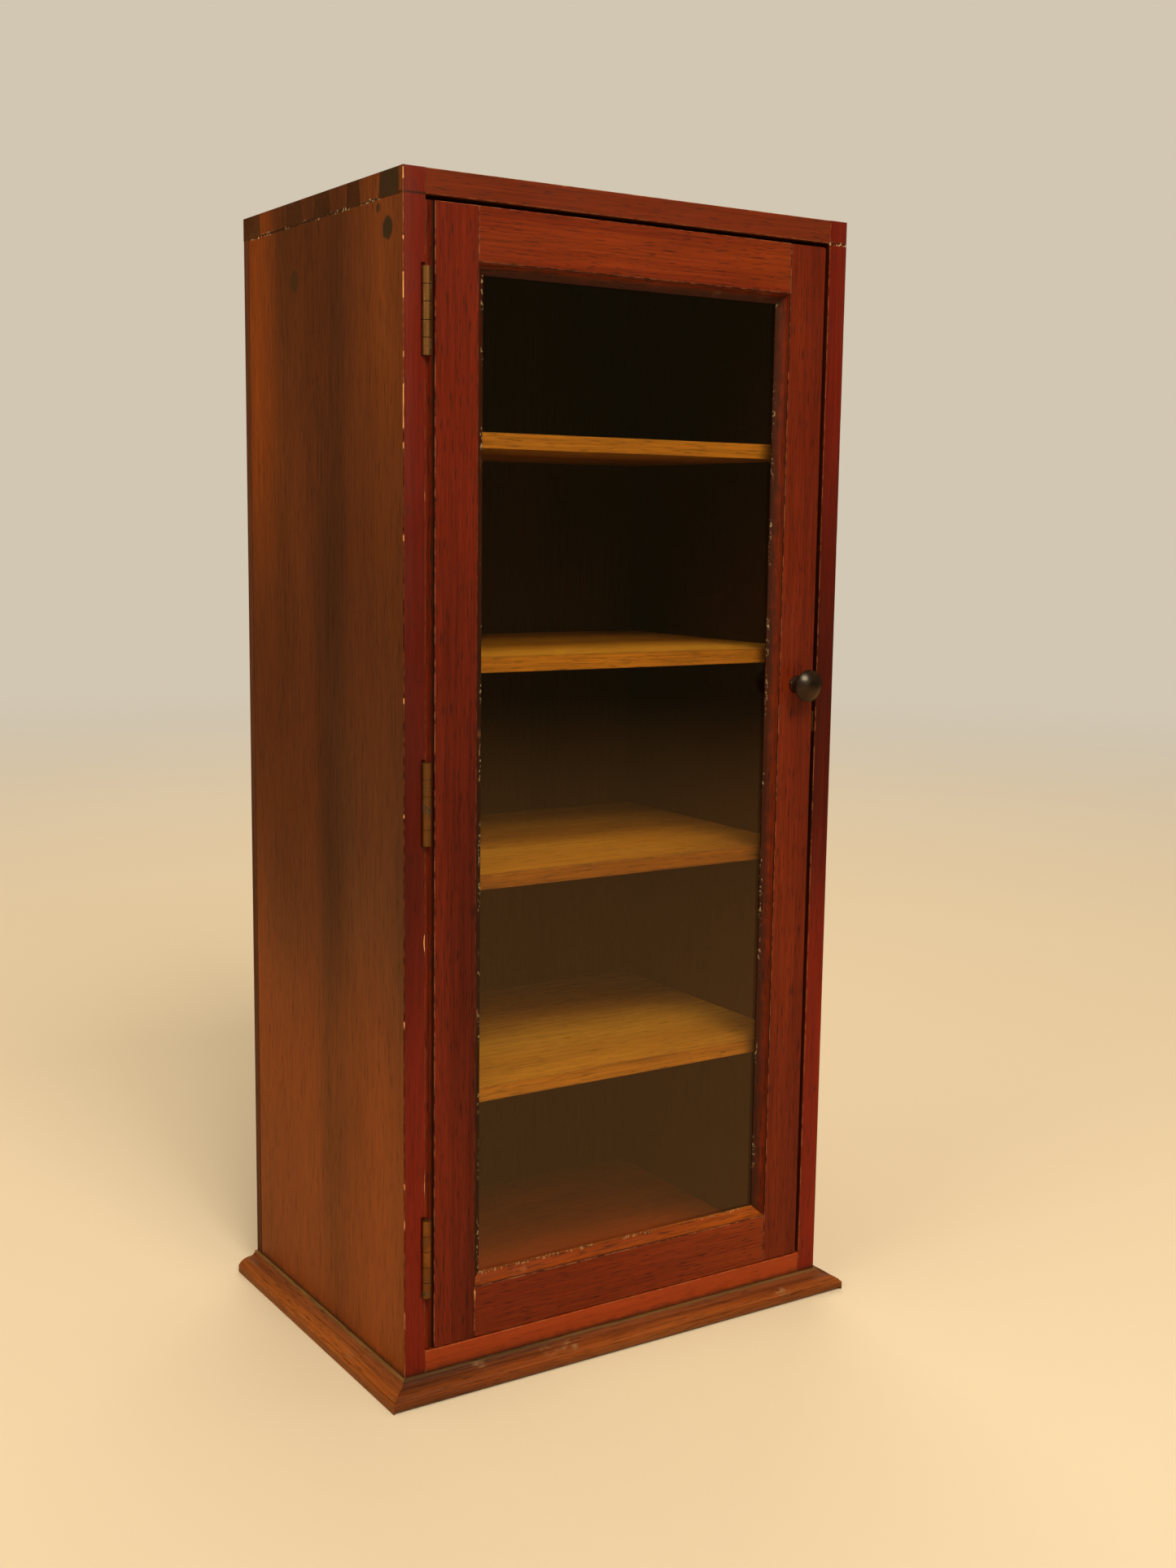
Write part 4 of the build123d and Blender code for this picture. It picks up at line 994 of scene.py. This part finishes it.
# %% Group: tarnish
tarnish, took, gave = new_group(
    "tarnish",
    [
        ("Place", "place", None), ("Clean", "colour", (0.5, 0.33, 0.13, 1)),
        ("Dull", "colour", (0.2, 0.12, 0.05, 1)), ("Crust", "colour", (0.04, 0.03, 0.02, 1)),
        ("Dirtiness", "value", 0.5),
    ],
    [("Color", "colour"), ("Roughness", "value"), ("Height", "value"), ("Metallic", "value")],
)
patches = stretched_noise(tarnish, took["Place"], (210, 210, 150), 4.0, 0.4)
specks = even_noise(tarnish, took["Place"], 1500, 3.0)
shade = sway(tarnish, specks, 0.5, patches)
bright = keep_band(tarnish, shade, 0.42, 0.72)
level = calc(tarnish, "MULTIPLY_ADD", took["Dirtiness"], -0.5, 0.85)
crusted = keep_band(tarnish, opposite(tarnish, shade), level, calc(tarnish, "ADD", level, 0.12))
colour = blend_colour(tarnish, bright, took["Dull"], took["Clean"])
rough = calc(tarnish, "MULTIPLY_ADD", bright, -0.16, 0.52)
plug(tarnish, gave["Color"], blend_colour(tarnish, crusted, colour, took["Crust"]))
plug(tarnish, gave["Roughness"], calc(tarnish, "MULTIPLY_ADD", crusted, 0.3, rough))
plug(tarnish, gave["Metallic"], opposite(tarnish, times(tarnish, crusted, 0.7)))
plug(tarnish, gave["Height"], shade)
print("tarnish has", len(tarnish.nodes), "nodes")


# %% Metals
def metal_finish(name, clean, dull, crust, dirtiness=0.5, dents=0.08 * MM, seams=False):
    """An old metal from the tarnish group; seams darkens the faces marked by the rub attribute."""
    material, tree, shader, here = new_material(name)
    old = use_group(tree, tarnish, Place=here, Clean=clean, Dull=dull, Crust=crust, Dirtiness=dirtiness)
    colour = blend_colour(tree, rub_mark(tree), old["Color"], crust) if seams else old["Color"]
    tree.links.new(colour, shader.inputs["Base Color"])
    tree.links.new(old["Roughness"], shader.inputs["Roughness"])
    tree.links.new(old["Metallic"], shader.inputs["Metallic"])
    dent(tree, shader, old["Height"], dents)
    return material


hinge_brass = metal_finish(
    "hinge_brass", (0.39, 0.215, 0.080, 1), (0.265, 0.135, 0.052, 1), (0.05, 0.022, 0.009, 1), seams=True
)
screw_brass = metal_finish(
    "screw_brass", (0.45, 0.27, 0.09, 1), (0.22, 0.12, 0.04, 1), (0.03, 0.02, 0.01, 1), 0.4
)
dark_steel = metal_finish("dark_steel", (0.40, 0.34, 0.26, 1), (0.16, 0.12, 0.08, 1), (0.03, 0.02, 0.015, 1))
dark_iron = metal_finish(
    "dark_iron", (0.12, 0.10, 0.08, 1), (0.05, 0.04, 0.03, 1), (0.06, 0.025, 0.012, 1), 0.8, 0.2 * MM
)

# %% [markdown]
# ## The knob
# A turned knob, stained black and polished.  The lathe leaves very fine rings, and wear leaves it
# glossier in some patches and duller in others.  Its shape is the CAD profile, so only its corners
# are eased and its surface made smooth.

# %% Ebonised wood
ebony, tree, shader, here = new_material("ebonised_wood")
worn_patch = even_noise(tree, here, 160, 3.0)
rubbed = keep_band(tree, worn_patch, 0.35, 0.75)
colour = blend_colour(tree, rubbed, (0.007, 0.003, 0.002, 1), (0.024, 0.0095, 0.0055, 1))
tree.links.new(colour, shader.inputs["Base Color"])
tree.links.new(calc(tree, "MULTIPLY_ADD", worn_patch, 0.25, 0.24), shader.inputs["Roughness"])
set_plain(shader, Coat_Weight=0.15, Coat_Roughness=0.15)
dent(tree, shader, stretched_noise(tree, here, (60, 2400, 60), 1.0), 0.04 * MM)


# %% Small hardware from the CAD shapes
SEAM = 0.16 * MM  # a dark chamfer round each hinge leaf, which shows where the knuckles meet


def eased_copy(node, name, material, body, round_by, segments=2):
    """A copy of a small CAD part with eased edges; one segment makes a dark seam."""
    bm = merged_copy(node)
    if round_by:
        mark = ROUND if segments == 1 else 0
        ease(bm, outer_corners(bm, 50), round_by, segments, mark, clamp=True)
    finish_board(bm, name, material, body, node, {ROUND: 1.0})


for number in (1, 2, 3):
    for body in ("case", "door"):
        leaf, copy_name = f"hinge_{body}_leaf_{number}", f"hinge_leaf_on_{body}_{number}"
        eased_copy(leaf, copy_name, hinge_brass, body, SEAM, 1)
    eased_copy(f"hinge_pin_{number}", f"hinge_pin_round_{number}", hinge_brass, "case", 0)
eased_copy("knob", "turned_knob", ebony, "door", 0.25 * MM)
eased_copy("catch_barrel", "catch_barrel_eased", hinge_brass, "door", 0.1 * MM)
eased_copy("catch_strike", "catch_strike_eased", hinge_brass, "case", 0.1 * MM)
dress("catch_ball", dark_steel)

# %% [markdown]
# ## Screws, brads and a spring
# These repeat, so Geometry Nodes make them: a few loose points say where each one goes, and one
# tree puts the same small shape on every point.  The driver slots point any way, as a hand left
# them, which a fixed seed picks.


# %% Geometry Nodes helpers
def shape(tree, kind, **values):
    """One geometry node with its inputs set by name; underscores stand for spaces."""
    node = tree.nodes.new(kind)
    for name, value in values.items():
        plug(tree, node.inputs[name.replace("_", " ")], value)
    return node


def new_shape_tree(name, sizes):
    """A tree with a point mesh, sizes, a seed and a material in, and a mesh out."""
    takes = [("Geometry", "shape", None)] + [(size_name, "value", size) for size_name, size in sizes.items()]
    takes += [("Seed", "whole", 0), ("Material", "coat", None)]
    return new_group(name, takes, [("Geometry", "shape")], "GeometryNodeTree")


def lifted(tree, geometry, height):
    """Moves a shape up its own Z axis."""
    stack = shape(tree, "ShaderNodeCombineXYZ", Z=height)
    return shape(tree, "GeometryNodeTransform", Geometry=geometry, Translation=stack.outputs[0]).outputs[0]


def joined(tree, *parts):
    """Joins shapes into one."""
    node = tree.nodes.new("GeometryNodeJoinGeometry")
    for part in parts:
        tree.links.new(part, node.inputs[0])
    return node.outputs[0]


def on_points(tree, took, gave, small_shape):
    """Puts a shape on each point, its Z axis along the point's aim, and ends the tree."""
    aim = tree.nodes.new("GeometryNodeInputNamedAttribute")
    aim.data_type = "FLOAT_VECTOR"
    aim.inputs["Name"].default_value = "aim"
    align = shape(tree, "FunctionNodeAlignRotationToVector", Vector=aim.outputs[0])
    align.axis = "Z"
    spin = shape(tree, "FunctionNodeRandomValue", Seed=took["Seed"])
    spin.inputs[2].default_value, spin.inputs[3].default_value = 0.0, math.pi
    about = shape(tree, "FunctionNodeAxisAngleToRotation", Axis=(0, 0, 1), Angle=spin.outputs[1])
    turn = tree.nodes.new("FunctionNodeRotateRotation")
    turn.rotation_space = "LOCAL"
    tree.links.new(align.outputs[0], turn.inputs[0])
    tree.links.new(about.outputs[0], turn.inputs[1])
    placed = shape(
        tree, "GeometryNodeInstanceOnPoints", Points=took["Geometry"], Instance=small_shape,
        Rotation=turn.outputs[0],
    )
    real = shape(tree, "GeometryNodeRealizeInstances", Geometry=placed.outputs[0])
    coated = shape(tree, "GeometryNodeSetMaterial", Geometry=real.outputs[0], Material=took["Material"])
    tree.links.new(coated.outputs[0], gave[0])


def socket_id(tree, name):
    """The identifier of a tree's input, which a modifier is set by."""
    return next(
        item.identifier for item in tree.interface.items_tree
        if item.item_type == "SOCKET" and item.in_out == "INPUT" and item.name == name
    )


def grow(name, tree, seats, slot, body, replaced, **values):
    """Runs a tree on the given (place, aim) seats and keeps the result as a plain mesh."""
    points = bpy.data.meshes.new(name + "_points")
    points.from_pydata([tuple(place) for place, aim in seats], [], [])
    aims = points.attributes.new("aim", "FLOAT_VECTOR", "POINT")
    aims.data.foreach_set("vector", [c for place, aim in seats for c in aim])
    holder = into_scene(name + "_points", points)
    modifier = holder.modifiers.new("grow", "NODES")
    modifier.node_group = tree
    for key, value in values.items():
        modifier[socket_id(tree, key.replace("_", " "))] = value
    bpy.context.view_layer.update()
    evaluated = holder.evaluated_get(bpy.context.evaluated_depsgraph_get())
    mesh = bpy.data.meshes.new_from_object(evaluated)
    mesh.name = name
    bpy.data.objects.remove(holder)
    return add_piece(name, mesh, body, replaced)


# %% A slotted screw
screw_tree, took, gave = new_shape_tree("slotted_screws", {
    "Head radius": 1.7 * MM, "Head height": 0.8 * MM, "Shank radius": 1.0 * MM, "Shank length": 5.6 * MM,
    "Tip length": 1.6 * MM, "Slot width": 0.45 * MM, "Slot depth": 0.4 * MM,
})
head = shape(
    screw_tree, "GeometryNodeMeshCone", Vertices=28, Radius_Top=took["Shank radius"],
    Radius_Bottom=took["Head radius"], Depth=took["Head height"],
)
slot_size = shape(
    screw_tree, "ShaderNodeCombineXYZ", X=times(screw_tree, took["Head radius"], 3.0), Y=took["Slot width"],
    Z=times(screw_tree, took["Slot depth"], 2.0),
)
slot_block = shape(screw_tree, "GeometryNodeMeshCube", Size=slot_size.outputs[0])
slotted = screw_tree.nodes.new("GeometryNodeMeshBoolean")
slotted.operation = "DIFFERENCE"
screw_tree.links.new(head.outputs[0], slotted.inputs[0])
screw_tree.links.new(slot_block.outputs[0], slotted.inputs[1])
shank = shape(
    screw_tree, "GeometryNodeMeshCylinder", Vertices=20, Radius=took["Shank radius"],
    Depth=took["Shank length"],
)
shank_middle = calc(screw_tree, "MULTIPLY_ADD", took["Shank length"], 0.5, took["Head height"])
tip = shape(
    screw_tree, "GeometryNodeMeshCone", Vertices=20, Radius_Top=0.2 * MM, Radius_Bottom=took["Shank radius"],
    Depth=took["Tip length"],
)
tip_foot = calc(screw_tree, "ADD", took["Shank length"], took["Head height"])
screw = joined(
    screw_tree, slotted.outputs[0], lifted(screw_tree, shank.outputs[0], shank_middle),
    lifted(screw_tree, tip.outputs[0], tip_foot),
)
on_points(screw_tree, took, gave, screw)

# %% Screws in the hinges and the knob
SCREW_PITCH, SCREW_INSET = 12.6 * MM, 3.3 * MM
door_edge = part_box("stile_hinge")[0].x
screw_seats = {"case": [], "door": []}
for number in (1, 2, 3):
    leaf_low, leaf_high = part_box(f"hinge_case_leaf_{number}")
    for row in (-1, 0, 1):
        y = leaf_high.y - SCREW_INSET
        z = (leaf_low.z + leaf_high.z) / 2 + row * SCREW_PITCH
        screw_seats["case"].append(((INNER_LEFT, y, z), (-1, 0, 0)))
        screw_seats["door"].append(((door_edge, y, z), (1, 0, 0)))
for body, seats in screw_seats.items():
    grow(
        f"hinge_screws_on_{body}", screw_tree, seats, "screw_brass", body, f"hinge_screws_{body}",
        Material=screw_brass, Seed=4 if body == "case" else 9,
    )
knob_screw_low, knob_screw_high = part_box("knob_screw")
knob_middle = (knob_screw_low + knob_screw_high) / 2
grow(
    "knob_screw_slotted", screw_tree, [((knob_middle.x, knob_screw_high.y, knob_middle.z), (0, -1, 0))],
    "screw_brass", "door", "knob_screw", Material=screw_brass, Seed=3, Head_radius=2.9 * MM,
    Head_height=1.4 * MM, Shank_radius=1.5 * MM, Shank_length=17.0 * MM, Tip_length=0.6 * MM,
    Slot_width=0.6 * MM,
)

# %% A flat-headed brad
brad_tree, took, gave = new_shape_tree("flat_headed_brads", {
    "Head radius": 1.2 * MM, "Head height": 0.5 * MM, "Shank radius": 0.6 * MM, "Shank length": 15.5 * MM,
})
head = shape(
    brad_tree, "GeometryNodeMeshCylinder", Vertices=20, Radius=took["Head radius"], Depth=took["Head height"]
)
shank = shape(
    brad_tree, "GeometryNodeMeshCylinder", Vertices=12, Radius=took["Shank radius"],
    Depth=took["Shank length"],
)
shank_middle = calc(brad_tree, "MULTIPLY_ADD", took["Shank length"], 0.5, took["Head height"])
brad = joined(
    brad_tree, lifted(brad_tree, head.outputs[0], times(brad_tree, took["Head height"], 0.5)),
    lifted(brad_tree, shank.outputs[0], shank_middle),
)
on_points(brad_tree, took, gave, brad)

# %% Brads in the back and the plinth, pins in the strike
SIDE_BRADS, BRAD_END = 7, 25.0 * MM
BRAD_SINK, FRONT_LIFT, BRAD_INSET, BRAD_FROM_CORNER = 0.5 * MM, 1.2 * MM, 9.0 * MM, 28 * MM
SIDE_MIDDLE = -LEFT - BOARD / 2
back_low, back_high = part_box("back_panel")
pitch = (back_high.z - back_low.z - 2 * BRAD_END) / (SIDE_BRADS - 1)
back_seats = [
    ((side * SIDE_MIDDLE, BACK, back_low.z + BRAD_END + pitch * i), (0, -1, 0))
    for side in (-1, 1)
    for i in range(SIDE_BRADS)
]
back_seats += [((-LEFT * i / 2, BACK, CASE_FOOT + BOARD / 2), (0, -1, 0)) for i in (-1, 0, 1)]
grow("back_brad_heads", brad_tree, back_seats, "iron_brads", "case", "back_brads", Material=dark_iron, Seed=5)
plinth_seats = [
    ((side * SIDE_MIDDLE, y, BRAD_SINK), (0, 0, 1))
    for side in (-1, 1)
    for y in (FRONT + BRAD_FROM_CORNER, (FRONT + BACK) / 2, BACK - BRAD_FROM_CORNER)
]
plinth_seats += [
    ((side * -LEFT / 2, FRONT + BRAD_INSET, FRONT_LIFT + BRAD_SINK), (0, 0, 1)) for side in (-1, 1)
]
grow(
    "plinth_brad_heads", brad_tree, plinth_seats, "iron_brads", "case", "plinth_brads", Material=dark_iron,
    Seed=6, Shank_length=16.0 * MM,
)
PIN_FROM_MIDDLE = 4 * MM
strike_low, strike_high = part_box("catch_strike")
strike_middle = (strike_low + strike_high) / 2
strike_seats = [
    ((strike_low.x, strike_middle.y, strike_middle.z + side * PIN_FROM_MIDDLE), (1, 0, 0)) for side in (-1, 1)
]
grow(
    "strike_pin_heads", brad_tree, strike_seats, "screw_brass", "case", "strike_pins", Material=screw_brass,
    Seed=2, Head_radius=0.8 * MM, Head_height=0.4 * MM, Shank_radius=0.45 * MM, Shank_length=5.6 * MM,
)

# %% [markdown]
# ## The catch's spring
# A small coil of steel wire pushes the ball out of its barrel.  A spiral curve with a round
# profile is the plain way to draw it.  The pressed ball shortens it towards its fixed end; here the
# coil is drawn at one length, seated at that end.

# %% Coil spring
spring_tree, took, gave = new_shape_tree("coil_spring", {
    "Coil radius": 1.2 * MM, "Wire radius": 0.17 * MM, "Length": 6.6 * MM, "Turns": 11.0,
})
coil = shape(
    spring_tree, "GeometryNodeCurveSpiral", Resolution=24, Rotations=took["Turns"],
    Start_Radius=took["Coil radius"], End_Radius=took["Coil radius"], Height=took["Length"],
)
wire = shape(spring_tree, "GeometryNodeCurvePrimitiveCircle", Resolution=8, Radius=took["Wire radius"])
wound = shape(
    spring_tree, "GeometryNodeCurveToMesh", Curve=coil.outputs[0], Profile_Curve=wire.outputs[0],
    Fill_Caps=True,
)
on_points(spring_tree, took, gave, wound.outputs[0])
SPRING_GAP = 0.2 * MM
spring_low, spring_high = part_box("catch_spring")
spring_middle = (spring_low + spring_high) / 2
spring_seat = ((spring_high.x - SPRING_GAP, spring_middle.y, spring_middle.z), (-1, 0, 0))
spring = grow(
    "catch_spring_coil", spring_tree, [spring_seat], "pin_steel", "door", "catch_spring", Material=dark_steel,
    Seed=1,
)
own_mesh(spring)
